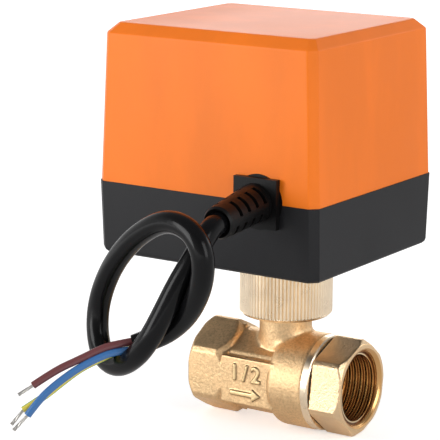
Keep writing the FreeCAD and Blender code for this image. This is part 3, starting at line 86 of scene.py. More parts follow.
# Each core's line from inside the jacket's end. Its last run is the bare wire.
CORE_ROUTES = {
    "core_brown": (
        (-3.1, -67.8, 25.4), (-7.1, -71.9, 24.7), (-10.1, -74.5, 23.7), (-14.7, -78.4, 20.8),
        (-19.7, -82.6, 17.9), (-23.9, -86.5, 14.1), (-26.8, -89.0, 11.7),
    ),
    "core_blue": (
        (-4.0, -69.0, 23.0), (-7.0, -72.4, 22.75), (-9.8, -75.0, 21.75), (-14.4, -78.9, 18.8),
        (-18.8, -83.2, 14.6), (-21.8, -86.4, 10.8), (-23.8, -89.1, 6.6), (-26.4, -91.7, 2.8),
    ),
    "core_yellow_green": (
        (-5.1, -67.1, 23.2), (-8.4, -70.1, 22.2), (-11.0, -72.8, 20.6), (-15.3, -76.7, 18.1),
        (-18.9, -80.5, 14.4), (-22.2, -83.9, 10.7), (-26.2, -87.8, 7.3), (-28.3, -90.2, 3.6),
    ),
}
# Each lamp's place, width and height, in metres.
LAMPS = {
    "key": ((-0.66, -0.94, 0.32), 0.55, 0.66),
    "fill": ((1.02, -0.30, 0.42), 0.5, 0.8),
    "back": ((-0.95, 1.40, 0.46), 0.9, 0.9),
    "rear": ((0.50, 0.86, 0.42), 0.3, 0.3),
}
LAMPS_TARGET = (-0.006, 0.0, 0.045)
CAMERA_TARGET = (-0.01595, -0.01052, 0.04557)
FLOOR_RADIUS = 6.0
FLOOR_GAP = 0.1 * MM


def colour_property(name, description, default):
    return FloatVectorProperty(
        name=name, description=description, subtype="COLOR", size=4, min=0.0, max=1.0,
        default=(*default, 1.0),
    )


def length_property(name, description, default, least=0.0):
    return FloatProperty(name=name, description=description, default=default * MM, min=least,
                         unit="LENGTH", precision=5)


def angle_property(name, description, degrees):
    return FloatProperty(name=name, description=description, default=math.radians(degrees),
                         subtype="ANGLE")


def count_property(name, description, default, least, most):
    return IntProperty(name=name, description=description, default=default, min=least, max=most)


def strength_property(name, description, default):
    return FloatProperty(name=name, description=description, default=default, min=0.0)


def share_property(name, description, default):
    return FloatProperty(name=name, description=description, default=default, min=0.0, max=1.0)


class ValveSizes(bpy.types.PropertyGroup):
    """Sizes of the details that the scene adds."""
    thread_pitch: length_property("Thread pitch", "Pitch of the pipe thread in both ports", 1.814)
    thread_height: length_property("Thread height", "Height of the thread's ridge", 1.1)
    thread_run: length_property("Thread run", "Length of the thread in each port", 11.4)
    thread_inset: length_property("Thread inset", "From a port's mouth to its thread", 0.9)
    port_radius: length_property("Port", "Radius of the wall of both ports", 10.48)
    knurl_count: count_property("Knurl ridges", "Ridges around the union nut", 78, 12, 200)
    knurl_depth: length_property("Knurl depth", "Depth between the union nut's ridges", 0.45)
    nut_rise: length_property("Nut's rise", "How much higher the nut's top is than the CAD's", 1.9)
    jacket_diameter: length_property("Jacket diameter", "Outside of the cable's jacket", 6.0)
    core_diameter: length_property("Core diameter", "Outside of each insulated core", 2.0)
    strand_diameter: length_property("Strand diameter", "One strand of a bare wire end", 0.28)
    strand_count: count_property("Strands", "Strands round each wire's middle one", 6, 3, 12)
    numeral_height: length_property("Numeral height", "Height of the cast numerals", 4.8)
    numeral_relief: length_property("Numeral relief", "How far the cast numerals stand out", 0.55)
    pad_face: length_property("Pad face", "Where the lettering pad's face lies", -12.5, -1.0)
    marks_middle: length_property("Marks", "Middle of the marks along the pipe", -5.7, -1.0)
    numerals_up: length_property("Numerals", "Their middle above the pipe's axis", 2.0, -1.0)
    arrow_up: length_property("Arrow", "Its middle above the pipe's axis", -3.9, -1.0)
    casting_cell: length_property("Casting cell", "Mesh size of the brass castings", 0.325)
    casting_softening: count_property("Softening", "How much their edges are rounded", 2, 0, 40)
    moulding_edge: length_property("Moulding's edge", "Roundness of the housing's edges", 0.35)
    neck_radius: length_property("Neck", "Radius of the body's neck", 7.6)
    foot_reach: length_property("Foot's reach", "How far from the neck its foot is softened", 3.2)
    foot_low: length_property("Foot's low end", "Height where that starts", 9.0)
    foot_high: length_property("Foot's high end", "Height where it ends", 17.5)
    foot_inside: length_property("Foot's inside", "Nearer the pipe's axis nothing changes", 11.0)
    foot_softening: count_property("Foot's softening", "How much the foot is rounded", 45, 0, 200)


class ValveColours(bpy.types.PropertyGroup):
    """Colours of the visible materials."""
    cover: colour_property("Cover", "Moulded cover", (0.89, 0.188, 0.008))
    base: colour_property("Base", "Moulded base", (0.009, 0.009, 0.0105))
    brass: colour_property("Brass", "Cast and blasted valve body", (0.86, 0.590, 0.325))
    nut: colour_property("Nut", "Machined union nut", (0.95, 0.78, 0.575))
    rubber: colour_property("Boot", "Strain relief", (0.004, 0.0038, 0.0038))
    jacket: colour_property("Jacket", "Cable jacket", (0.004, 0.004, 0.0045))
    brown: colour_property("Brown core", "Insulation of the brown core", (0.150, 0.045, 0.048))
    blue: colour_property("Blue core", "Insulation of the blue core", (0.045, 0.160, 0.400))
    yellow: colour_property("Yellow core", "Insulation of the striped core", (0.72, 0.62, 0.10))
    green: colour_property("Green stripe", "Stripe of that core", (0.06, 0.30, 0.07))


class StudioSettings(bpy.types.PropertyGroup):
    """The camera's place and the lamps' strength."""
    azimuth: angle_property("Azimuth", "Camera's direction round the valve", 33.47)
    elevation: angle_property("Elevation", "Camera's height above level", 12.44)
    roll: angle_property("Roll", "Camera's tilt", 0.32)
    distance: FloatProperty(name="Distance", description="Camera to its target", default=0.6033,
                            unit="LENGTH")
    focal_length: FloatProperty(name="Focal length", description="Camera's lens", default=173.3,
                                unit="CAMERA")
    key: strength_property("Key", "Power of the large lamp on the left, in watts", 6.9)
    fill: strength_property("Fill", "Power of the lamp on the right, in watts", 4.5)
    back: strength_property("Back", "Power of the low lamp behind, in watts", 5.0)
    rear: strength_property("Rear", "Power of the lamp behind on the right, in watts", 0.5)
    sky: strength_property("Sky", "Strength of the light from all round", 0.90)
    paper: share_property("Paper", "How much the floor glows for the camera", 0.48)
    paper_reflected: share_property("Paper reflected", "How much it glows in metal", 0.05)
    # A painted reflection: a patch of floor in front of the key that glows for shiny surfaces
    # only.
    paper_glow_patch: share_property("Lit paper", "How much more it does there in front of the key", 0.95)


def sizes():
    return bpy.context.scene.valve_sizes


def colours():
    return bpy.context.scene.valve_colours


# Shader maths.
class Field:
    """A shader value. Arithmetic on it adds Math nodes."""

    def __init__(self, finish, socket):
        self.finish = finish
        self.socket = socket

    def math(self, operation, *values):
        return self.finish.node("ShaderNodeMath", {"operation": operation}, *values)

    def __add__(self, other):
        return self.math("ADD", self, other)

    def __sub__(self, other):
        return self.math("SUBTRACT", self, other)

    def __mul__(self, other):
        return self.math("MULTIPLY", self, other)

    def __rsub__(self, other):
        return self.math("SUBTRACT", other, self)

    def __gt__(self, other):
        return self.math("GREATER_THAN", self, other)

    def __lt__(self, other):
        return self.math("LESS_THAN", self, other)

    def __pow__(self, other):
        return self.math("POWER", self, other)

    def absolute(self):
        return self.math("ABSOLUTE", self)

    def sine(self):
        return self.math("SINE", self)

    def fraction(self):
        return self.math("FRACT", self)

    def step(self, low, high):
        """0 below low, 1 above high, smooth between."""
        return self.finish.node(
            "ShaderNodeMapRange", {"interpolation_type": "SMOOTHSTEP"}, self, low, high, 0.0, 1.0)


class Shading:
    """A shader tree that is filled one node at a time."""

    def __init__(self, tree):
        self.tree = tree

    def fill(self, socket, value):
        if isinstance(value, Field):
            self.tree.links.new(value.socket, socket)
        elif value is not None:
            socket.default_value = value

    def node(self, kind, settings, *values, out=0, **named):
        """Add a node, set it up first, then fill its sockets in order or by name."""
        item = self.tree.nodes.new(kind)
        for key, value in settings.items():
            setattr(item, key, value)
        for socket, value in zip(item.inputs, values):
            self.fill(socket, value)
        for key, value in named.items():
            self.fill(item.inputs[key.replace("_", " ")], value)
        return Field(self, item.outputs[out])

    def place(self):
        return self.node("ShaderNodeTexCoord", {}, out=3)

    def axes(self, place):
        item = self.tree.nodes.new("ShaderNodeSeparateXYZ")
        self.fill(item.inputs[0], place)
        return [Field(self, socket) for socket in item.outputs]

    def stretched(self, place, x, y, z):
        return self.node("ShaderNodeMapping", {}, place, Scale=(x, y, z))

    def noise(self, place, scale, detail, roughness=0.5):
        return self.node("ShaderNodeTexNoise", {}, Vector=place, Scale=scale, Detail=detail,
                         Roughness=roughness)

    def cells(self, place, scale):
        return self.node("ShaderNodeTexVoronoi", {}, Vector=place, Scale=scale)

    def mix(self, factor, first, second):
        return self.node("ShaderNodeMix", {"data_type": "RGBA"}, factor, None, None, None, None,
                         None, first, second, out=2)

    def blend(self, factor, first, second):
        """Plain numbers mixed by a factor."""
        return factor * (second - first) + first

    def bump(self, height, distance, strength):
        return self.node("ShaderNodeBump", {}, Strength=strength, Distance=distance,
                         Height=height)

    def larger(self, first, second):
        return self.node("ShaderNodeMath", {"operation": "MAXIMUM"}, first, second)

    def ray(self, kind):
        """1 for rays of one kind, 0 for the others."""
        path = self.tree.nodes.new("ShaderNodeLightPath")
        return Field(self, path.outputs[kind])

    def mirrored(self):
        """1 for rays that a shiny or a clear surface sends on."""
        return self.larger(self.ray("Is Glossy Ray"), self.ray("Is Transmission Ray"))


class Finish(Shading):
    """One material and its nodes."""

    def __init__(self, name):
        self.material = bpy.data.materials.new(name)
        self.material.use_nodes = True
        super().__init__(self.material.node_tree)
        self.shader = self.tree.nodes["Principled BSDF"]

    def surface(self, **named):
        for key, value in named.items():
            self.fill(self.shader.inputs[key.replace("_", " ")], value)
        return self.material


def shaded(colour, amount):
    """A colour made lighter or darker."""
    return (*[min(1.0, max(0.0, part * amount)) for part in colour[:3]], 1.0)


def textured_plastic(name, colour, rough, grain, speck, gloss):
    """Spark-eroded moulding: a fine even grain, faint flow marks and uneven gloss."""
    f = Finish(name)
    place = f.place()
    fine = f.noise(place, 3800.0, 2.0, 0.6)
    pits = f.cells(place, 2600.0)
    flow = f.noise(f.stretched(place, 1.0, 1.0, 0.35), 42.0, 4.0, 0.55)
    cloud = f.noise(place, 16.0, 2.0)
    tint = f.mix(flow.step(0.35, 0.7), shaded(colour, 1.0 - speck),
                 shaded(colour, 1.0 + speck))
    tint = f.mix(fine.step(0.45, 0.75) * 0.10, tint, shaded(colour, 1.5))
    height = fine * 0.7 + pits * 0.5
    return f.surface(
        Base_Color=tint,
        Roughness=f.blend(cloud.step(0.35, 0.65), rough - 0.03, rough + 0.03) + fine * 0.05,
        Normal=f.bump(height, grain, 0.5),
        Specular_IOR_Level=gloss,
    )


def cast_brass(name, colour, rough):
    """Hot-pressed brass: blasted outside, machined in the bores and on the end faces."""
    f = Finish(name)
    place = f.place()
    x, y, z = f.axes(place)
    grain = f.noise(place, 1500.0, 3.0, 0.7)
    dents = f.noise(place, 430.0, 3.0, 0.6)
    cloud = f.noise(place, 90.0, 4.0, 0.6)
    away = (y * y + z * z) ** 0.5
    # The bores, wider in the mouths' chamfers, with the end faces and the passage far inside.
    at_end = x.absolute() > 24.4 * MM
    bored = away < at_end * (0.4 * MM) + 11.2 * MM
    ends = x.absolute() > 25.35 * MM
    machined = f.node("ShaderNodeMath", {"operation": "MINIMUM"}, bored + ends, 1.0)
    # Painted shade mask: the passage far inside the body.
    deep_shade = bored * (x.absolute() < 13.4 * MM)
    # The connector, which is turned from smoother bar.
    bar = x > 15.7 * MM
    # The pad, its marks' walls and tops, and the ledge above it.
    pad = (x > -12.9 * MM) * (x < 2.0 * MM) * (y < -11.4 * MM)
    walls = pad * (y > -12.86 * MM) * (y < -12.56 * MM) * (z.absolute() < 6.1 * MM)
    tops = pad * (y < -12.88 * MM)
    ledge = pad * (y > -12.32 * MM) * (z > 6.0 * MM) * (z < 6.9 * MM)
    bar_tone = (0.86, 0.66, 0.44, 1.0)
    # Painted shade: a darker, more saturated brass for the bores, where little light reaches.
    shaded_bore_tone = (colour[0] * 0.80, colour[1] * 0.66, colour[2] * 0.48, 1.0)
    tool_pitch = 0.4 * MM
    lines = (away * (2 * math.pi / tool_pitch) + cloud * 4.0).sine()
    tint = f.mix(cloud.step(0.3, 0.75), shaded(colour, 0.90), shaded(colour, 1.08))
    tint = f.mix(bar * 0.45, tint, bar_tone)
    depth = 0.55 - bar * 0.45
    tint = f.mix(grain.step(0.52, 0.36) * depth, tint, shaded(colour, 0.66))
    tint = f.mix(grain.step(0.55, 0.70) * depth, tint, shaded(colour, 1.30))
    # Painted shade: the walls of the raised marks and the ledge above the pad are darkened.
    tint = f.mix((walls + ledge) * 0.7, tint, shaded(colour, 0.25))
    tint = f.mix(tops * 0.6, tint, shaded(colour, 1.35))
    tint = f.mix(machined * 0.6, tint, shaded(colour, 1.12))
    # Painted shade: the bores take that darker tone, and the passage far inside is painted nearly
    # black-brown.
    tint = f.mix(bored, tint, shaded_bore_tone)
    tint = f.mix(deep_shade * 0.8, tint, (0.16, 0.07, 0.025, 1.0))
    satin = f.blend(cloud.step(0.3, 0.7), rough - 0.04, rough + 0.05) + grain * 0.08
    height = f.blend(machined, grain * 0.9 + dents * 0.6, lines * 0.05)
    return f.surface(
        Base_Color=tint,
        Metallic=1.0,
        Roughness=f.blend(machined, satin - bar * 0.13, 0.22),
        Normal=f.bump(height, 0.20 * MM, 0.7),
    )


def turned_metal(name, colour, rough, axis, pitch=0.25 * MM, depth=0.006 * MM):
    """Machined metal with fine tool lines across an axis."""
    f = Finish(name)
    place = f.place()
    along = f.axes(place)["xyz".index(axis)]
    waver = f.noise(place, 300.0, 2.0)
    lines = (along * (2 * math.pi / pitch) + waver * 1.2).sine()
    smudge = f.noise(place, 140.0, 3.0)
    tint = f.mix(smudge.step(0.3, 0.7), shaded(colour, 0.92), shaded(colour, 1.06))
    return f.surface(
        Base_Color=tint,
        Metallic=1.0,
        Roughness=f.blend(smudge.step(0.3, 0.7), rough, rough + 0.08),
        Normal=f.bump(lines, depth, 0.6),
    )


def cut_thread(name, colour):
    """Thread flanks: bright at the crests, with painted shade darkening the roots."""
    f = Finish(name)
    place = f.place()
    _, y, z = f.axes(place)
    away = (y * y + z * z) ** 0.5
    cloud = f.noise(place, 260.0, 3.0)
    root_shade = (0.15, 0.055, 0.018, 1.0)
    # Painted shade: the roots of the thread turn dark brown.
    root = (away + cloud * (0.12 * MM)).step(9.80 * MM, 10.22 * MM)
    return f.surface(
        Base_Color=f.mix(root, shaded(colour, 1.0), root_shade),
        Metallic=1.0,
        Roughness=f.blend(cloud.step(0.3, 0.7), 0.13, 0.20),
        Normal=f.bump(cloud, 0.006 * MM, 0.4),
    )


def plain_metal(name, colour, rough):
    """Plated or drawn metal with faint clouding and scratches."""
    f = Finish(name)
    place = f.place()
    cloud = f.noise(place, 120.0, 3.0)
    scratch = f.noise(f.stretched(place, 1.0, 1.0, 0.08), 900.0, 2.0)
    tint = f.mix(cloud.step(0.3, 0.7), shaded(colour, 0.9), shaded(colour, 1.08))
    return f.surface(
        Base_Color=tint,
        Metallic=1.0,
        Roughness=f.blend(scratch.step(0.4, 0.7), rough, rough + 0.12),
        Normal=f.bump(scratch, 0.008 * MM, 0.4),
    )


def moulded(name, colour, rough, grain=1200.0, depth=0.01 * MM, gloss=0.5):
    """A plain moulding with slight clouding and a fine surface."""
    f = Finish(name)
    place = f.place()
    cloud = f.noise(place, 60.0, 3.0)
    fine = f.noise(place, grain, 3.0, 0.6)
    tint = f.mix(cloud.step(0.3, 0.7), shaded(colour, 0.92), shaded(colour, 1.08))
    return f.surface(
        Base_Color=tint,
        Roughness=f.blend(cloud.step(0.3, 0.7), rough - 0.03, rough + 0.04),
        Normal=f.bump(fine, depth, 0.5),
        Specular_IOR_Level=gloss,
    )


def pvc(name, colour, rough, gloss):
    """Extruded cable PVC: smooth, with shallow ripples from the cores inside."""
    f = Finish(name)
    place = f.place()
    ripple = f.noise(place, 170.0, 2.0, 0.4)
    fine = f.noise(place, 1500.0, 2.0)
    dust = f.noise(place, 420.0, 4.0, 0.7)
    tint = f.mix(dust.step(0.62, 0.8) * 0.25, shaded(colour, 1.0), shaded(colour, 2.2))
    return f.surface(
        Base_Color=tint,
        Roughness=f.blend(dust.step(0.4, 0.7), rough, rough + 0.09),
        Normal=f.bump(ripple + fine * 0.06, 0.12 * MM, 0.5),
        Specular_IOR_Level=gloss,
    )


def striped_pvc(name, colour, stripe):
    """The earth core's insulation: two green stripes along a yellow core."""
    f = Finish(name)
    uv = f.node("ShaderNodeTexCoord", {}, out=2)
    around = f.axes(uv)[1]
    place = f.place()
    band = ((around * 2.0).fraction() - 0.5).absolute().step(0.16, 0.19)
    fine = f.noise(place, 1500.0, 2.0)
    tint = f.mix(band, shaded(stripe, 1.0), shaded(colour, 1.0))
    return f.surface(
        Base_Color=tint,
        Roughness=f.blend(fine.step(0.4, 0.7), 0.20, 0.28),
        Normal=f.bump(fine, 0.01 * MM, 0.4),
        Specular_IOR_Level=0.6,
    )


def laminate(name):
    """Circuit board: green lacquer over copper tracks, with tinned pads."""
    f = Finish(name)
    place = f.place()
    x, y, _ = f.axes(place)
    per_metre = 1.0 / (2.5 * MM)
    lacquer, copper = (0.008, 0.075, 0.022, 1.0), (0.03, 0.16, 0.05, 1.0)
    tin = (0.62, 0.62, 0.60, 1.0)
    grid_x = ((x * per_metre).fraction() - 0.5).absolute()
    grid_y = ((y * per_metre).fraction() - 0.5).absolute()
    blocks = f.noise(f.stretched(place, 1.0, 1.0, 0.0), 60.0, 0.0)
    track_x = (grid_x < 0.16) * blocks.step(0.50, 0.52)
    track_y = (grid_y < 0.16) * (1.0 - blocks.step(0.47, 0.49))
    track = track_x + track_y
    pad = (grid_x * grid_x + grid_y * grid_y) ** 0.5 < 0.19
    tint = f.mix(pad, f.mix(track, lacquer, copper), tin)
    weave = f.noise(place, 2500.0, 2.0)
    return f.surface(
        Base_Color=tint,
        Metallic=pad * 0.8,
        Roughness=f.blend(weave.step(0.3, 0.7), 0.28, 0.40),
        Normal=f.bump(track + weave * 0.1, 0.03 * MM, 0.4),
    )


def make_finishes():
    """One material for each of the record's slots."""
    c = colours()
    return {
        "body_brass": cast_brass("body_brass", c.brass, 0.42),
        "thread_brass": cut_thread("thread_brass", (0.94, 0.74, 0.46, 1.0)),
        "rim_brass": turned_metal("rim_brass", c.nut, 0.24, "x", 0.5 * MM),
        "nut_brass": turned_metal("nut_brass", c.nut, 0.27, "z", 0.8 * MM, 0.002 * MM),
        "ball_chrome": plain_metal("ball_chrome", (0.78, 0.78, 0.80), 0.06),
        "stem_brass": turned_metal("stem_brass", (0.76, 0.50, 0.22), 0.24, "z"),
        "seat_plastic": moulded("seat_plastic", (0.86, 0.86, 0.84), 0.42),
        "seal_rubber": moulded("seal_rubber", (0.012, 0.012, 0.012), 0.62),
        "base_plastic": textured_plastic("base_plastic", c.base, 0.46, 0.05 * MM, 0.10, 0.27),
        "cover_plastic": textured_plastic("cover_plastic", c.cover, 0.42, 0.04 * MM, 0.06, 0.28),
        "boot_rubber": moulded("boot_rubber", c.rubber, 0.40, 1700.0, 0.03 * MM, 0.18),
        "jacket_pvc": pvc("jacket_pvc", c.jacket, 0.15, 0.17),
        "core_brown_pvc": pvc("core_brown_pvc", c.brown, 0.18, 0.6),
        "core_blue_pvc": pvc("core_blue_pvc", c.blue, 0.18, 0.6),
        "core_yellow_green_pvc": striped_pvc("core_yellow_green_pvc", c.yellow, c.green),
        "tinned_copper": plain_metal("tinned_copper", (0.62, 0.60, 0.57), 0.30),
        "steel": plain_metal("steel", (0.60, 0.60, 0.60), 0.30),
        "gear_plastic": moulded("gear_plastic", (0.80, 0.78, 0.70), 0.40),
        "motor_steel": plain_metal("motor_steel", (0.62, 0.62, 0.63), 0.26),
        "board_laminate": laminate("board_laminate"),
        "switch_plastic": moulded("switch_plastic", (0.015, 0.015, 0.017), 0.42),
        "plunger_plastic": moulded("plunger_plastic", (0.55, 0.02, 0.015), 0.35),
        "capacitor_sleeve": moulded("capacitor_sleeve", (0.015, 0.025, 0.10), 0.25),
        "terminal_plastic": moulded("terminal_plastic", (0.02, 0.22, 0.06), 0.32),
    }


FINISHES = {}


def finish_of(slot):
    if not FINISHES:
        FINISHES.update(make_finishes())
    return FINISHES[slot]


def slot_of(node):
    for part in frame["record"]["subparts"]:
        if part["node"] == node:
            return part["material_slot"]
    raise RuntimeError(f"no slot for {node}")


def linked(name, data):
    """A new object in the scene."""
    item = bpy.data.objects.new(name, data)
    bpy.context.scene.collection.objects.link(item)
    return item


def evaluated(item):
    """The mesh that an object shows, with its modifiers applied."""
    bpy.context.view_layer.update()
    return bpy.data.meshes.new_from_object(
        item.evaluated_get(bpy.context.evaluated_depsgraph_get()))


def closed(shape, name):
    """The mesh of a bmesh, which is freed."""
    mesh = bpy.data.meshes.new(name)
    shape.to_mesh(mesh)
    shape.free()
    return mesh


def dress(*nodes):
    """Give CAD nodes the material of their record slot."""
    for node in nodes:
        mesh = NODES[node].data
        mesh.materials.clear()
        mesh.materials.append(finish_of(slot_of(node)))


def add_piece(name, data, body, slot, *replaced):
    """Put a piece in the scene, on its body, with its slot's material."""
    item = linked(name, data)
    if not data.materials:
        data.materials.append(finish_of(slot))
    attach(item, body)
    if replaced:
        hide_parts(*replaced)
    return item


# Geometry Nodes.
class Tree:
    """A geometry tree with named inputs, applied to a mesh and then removed."""

    def __init__(self, name):
        self.tree = bpy.data.node_groups.new(name, "GeometryNodeTree")
        for way in ("INPUT", "OUTPUT"):
            self.tree.interface.new_socket("Geometry", in_out=way,
                                           socket_type="NodeSocketGeometry")
        self.source = self.tree.nodes.new("NodeGroupInput")
        self.values = {}

    def input(self, name, value, kind="NodeSocketFloat"):
        socket = self.tree.interface.new_socket(name, in_out="INPUT", socket_type=kind)
        self.values[socket.identifier] = value
        return self.source.outputs[name]

    def geometry(self):
        return self.source.outputs["Geometry"]

    def node(self, kind, settings, *values, **named):
        """Add a node, set it up first, then fill its live sockets in order or by name."""
        item = self.tree.nodes.new(kind)
        for key, value in settings.items():
            setattr(item, key, value)
        pairs = list(zip([i for i in item.inputs if i.enabled], values))
        pairs += [(item.inputs[key.replace("_", " ")], value) for key, value in named.items()]
        for socket, value in pairs:
            if isinstance(value, bpy.types.NodeSocket):
                self.tree.links.new(value, socket)
            elif value is not None:
                socket.default_value = value
        return next(socket for socket in item.outputs if socket.enabled)

    def math(self, operation, *values):
        return self.node("ShaderNodeMath", {"operation": operation}, *values)

    def mesh(self, geometry, material, start=None):
        """Finish the tree, run it and give its result as a plain mesh."""
        slot = self.input("Material", material, "NodeSocketMaterial")
        real = self.node("GeometryNodeRealizeInstances", {}, geometry)
        done = self.node("GeometryNodeSetMaterial", {}, Geometry=real, Material=slot)
        end = self.tree.nodes.new("NodeGroupOutput")
        self.tree.links.new(done, end.inputs[0])
        carrier = linked(self.tree.name, start or bpy.data.meshes.new(self.tree.name))
        modifier = carrier.modifiers.new("shape", "NODES")
        modifier.node_group = self.tree
        for identifier, value in self.values.items():
            modifier[identifier] = value
        result = evaluated(carrier)
        carrier.modifiers.remove(modifier)
        bpy.data.objects.remove(carrier)
        return result


def smooth(mesh, degrees=35.0):
    """Round shading with sharp edges above an angle."""
    mesh.shade_smooth()
    mesh.set_sharp_from_angle(angle=math.radians(degrees))
    return mesh


# The cable.
def route_curve(name, points, diameter):
    curve = bpy.data.curves.new(name, "CURVE")
    curve.dimensions = "3D"
    curve.resolution_u = 12
    curve.bevel_depth = diameter / 2
    curve.bevel_resolution = 10
    curve.use_fill_caps = True
    spline = curve.splines.new("NURBS")
    spline.points.add(len(points) - 1)
    for knot, point in zip(spline.points, points):
        knot.co = (*[part * MM for part in point], 1.0)
    spline.order_u = 3
    spline.use_endpoint_u = True
    return curve


def line_length(curve):
    """Length of a curve's own line."""
    bare = curve.copy()
    bare.bevel_depth = 0.0
    carrier = linked("line", bare)
    mesh = evaluated(carrier)
    total = sum((mesh.vertices[a].co - mesh.vertices[b].co).length
                for a, b in (edge.vertices for edge in mesh.edges))
    bpy.data.objects.remove(carrier)
    bpy.data.curves.remove(bare)
    bpy.data.meshes.remove(mesh)
    return total


def make_cable():
    s = sizes()
    root = "valve"
    curve = route_curve("cable_jacket", JACKET_ROUTE, s.jacket_diameter)
    jacket = add_piece("cable_jacket", curve, root, "jacket_pvc", "cord_jacket")
    line_length(jacket.data)
    for node, route in CORE_ROUTES.items():
        curve = route_curve("cable_" + node, route[:-1], s.core_diameter)
        core = add_piece("cable_" + node, curve, root, node + "_pvc", node)
        line_length(core.data)
        bare_strands(node, route)


def bare_strands(node, route):
    """Twisted tinned strands that stick out of a core's cut end."""
    s = sizes()
    start, end = (Vector(point) * MM for point in route[-2:])
    t = Tree("bare_strands")
    long = t.input("Length", (end - start).length)
    thick = t.input("Strand Diameter", s.strand_diameter)
    count = t.input("Strands", s.strand_count, "NodeSocketInt")
    turns = t.input("Turns", 0.55)
    thin = t.math("MULTIPLY", thick, 0.5)
    spread = t.math("MULTIPLY", thick, 1.3)
    spiral = t.node("GeometryNodeCurveSpiral", {}, 40, turns, thick, spread, long, False)
    spots = t.node("GeometryNodePoints", {}, count)
    index = t.node("GeometryNodeInputIndex", {})
    angle = t.math("DIVIDE", t.math("MULTIPLY", index, 2 * math.pi), count)
    turn = t.node("ShaderNodeCombineXYZ", {}, 0.0, 0.0, angle)
    ring = t.node("GeometryNodeInstanceOnPoints", {}, Points=spots, Instance=spiral, Rotation=turn)
    middle = t.node("GeometryNodeCurvePrimitiveLine", {}, Start=(0.0, 0.0, 0.0),
                    End=t.node("ShaderNodeCombineXYZ", {}, 0.0, 0.0, long))
    joined = t.tree.nodes.new("GeometryNodeJoinGeometry")
    t.tree.links.new(ring, joined.inputs[0])
    t.tree.links.new(middle, joined.inputs[0])
    lines = t.node("GeometryNodeRealizeInstances", {}, joined.outputs[0])
    profile = t.node("GeometryNodeCurvePrimitiveCircle", {}, Resolution=8, Radius=thin)
    tubes = t.node("GeometryNodeCurveToMesh", {}, Curve=lines, Profile_Curve=profile,
                   Fill_Caps=True)
    mesh = t.mesh(tubes, finish_of("tinned_copper"))
    turn_to = (end - start).to_track_quat("Z", "Y").to_matrix().to_4x4()
    mesh.transform(Matrix.Translation(start) @ turn_to)
    return add_piece("strands_" + node.removeprefix("core_"), smooth(mesh), "valve",
                     "tinned_copper", "bare_wire_ends")


# The brass castings.
def merged_copy(node):
    """A copy of a CAD mesh with its loose triangles joined."""
    mesh = NODES[node].data.copy()
    shape = bmesh.new()
    shape.from_mesh(mesh)
    bmesh.ops.remove_doubles(shape, verts=shape.verts, dist=0.001 * MM)
    shape.to_mesh(mesh)
    shape.free()
    return mesh


def baked(mesh, *modifiers):
    """A mesh with modifiers applied, each given as its type and its settings."""
    carrier = linked("carrier", mesh)
    for kind, settings in modifiers:
        item = carrier.modifiers.new(kind.lower(), kind)
        for key, value in settings.items():
            setattr(item, key, value)
    result = evaluated(carrier)
    bpy.data.objects.remove(carrier)
    return result


def casting(node, *marks):
    """A CAD solid with raised marks, its edges and corners softened as a casting's are."""
    s = sizes()
    shape = bmesh.new()
    shape.from_mesh(merged_copy(node))
    for mark in marks:
        shape.from_mesh(mark)
    mesh = closed(shape, node)
    pattern = linked("pattern", mesh.copy())
    mesh = baked(
        mesh,
        ("REMESH", {"mode": "VOXEL", "voxel_size": s.casting_cell}),
        ("SHRINKWRAP", {"target": pattern}),
        ("SMOOTH", {"factor": 0.5, "iterations": s.casting_softening}),
    )
    bpy.data.objects.remove(pattern)
    return mesh


def flowing_foot(mesh):
    """Let the neck run into the barrel in a wide hollow curve."""
    s = sizes()
    carrier = linked("carrier", mesh)
    foot = carrier.vertex_groups.new(name="foot")
    for vertex in mesh.vertices:
        x, y, z = vertex.co
        away = math.hypot(x, y)
        outside = math.hypot(y, z) > s.foot_inside
        if outside and s.neck_radius * 0.9 < away < s.neck_radius + s.foot_reach:
            if s.foot_low < z < s.foot_high:
                near = 1.0 - abs(away - s.neck_radius) / s.foot_reach
                foot.add([vertex.index], min(1.0, 0.25 + near), "REPLACE")
    item = carrier.modifiers.new("foot", "SMOOTH")
    item.factor = 0.9
    item.iterations = s.foot_softening
    item.vertex_group = "foot"
    result = evaluated(carrier)
    bpy.data.objects.remove(carrier)
    return result


def moulding(name, node):
    """A moulded CAD shell with the small round edges that its tool gave it."""
    mesh = merged_copy(node)
    mesh.shade_smooth()
    mesh = baked(
        mesh,
        ("BEVEL", {"width": sizes().moulding_edge, "segments": 3, "limit_method": "ANGLE",
                   "angle_limit": math.radians(24.0)}),
        ("WEIGHTED_NORMAL", {"keep_sharp": True}),
    )
    mesh.materials.clear()
    return add_piece(name, mesh, "valve", slot_of(node), node)


def add_casting(node, mesh):
    mesh.materials.clear()
    mesh.shade_smooth()
    return add_piece("cast_" + node, mesh, "valve", slot_of(node), node)


def on_pad(mesh, up):
    """Stand a flat shape up on the front pad."""
    face = Matrix.Translation((sizes().marks_middle, sizes().pad_face, up))
    mesh.transform(face @ Matrix.Rotation(math.radians(90), 4, "X"))
    return mesh


def size_mark():
    """The thread's nominal size as raised numerals."""
    s = sizes()
    text = bpy.data.curves.new("size_mark", "FONT")
    text.body = "1/2"
    size_per_height = 1.37
    text.size = s.numeral_height * size_per_height
    text.align_x = "CENTER"
    text.align_y = "CENTER"
    text.space_character = 1.3
    text.extrude = s.numeral_relief
    text.offset = 0.10 * MM
    return on_pad(baked(text), s.numerals_up)


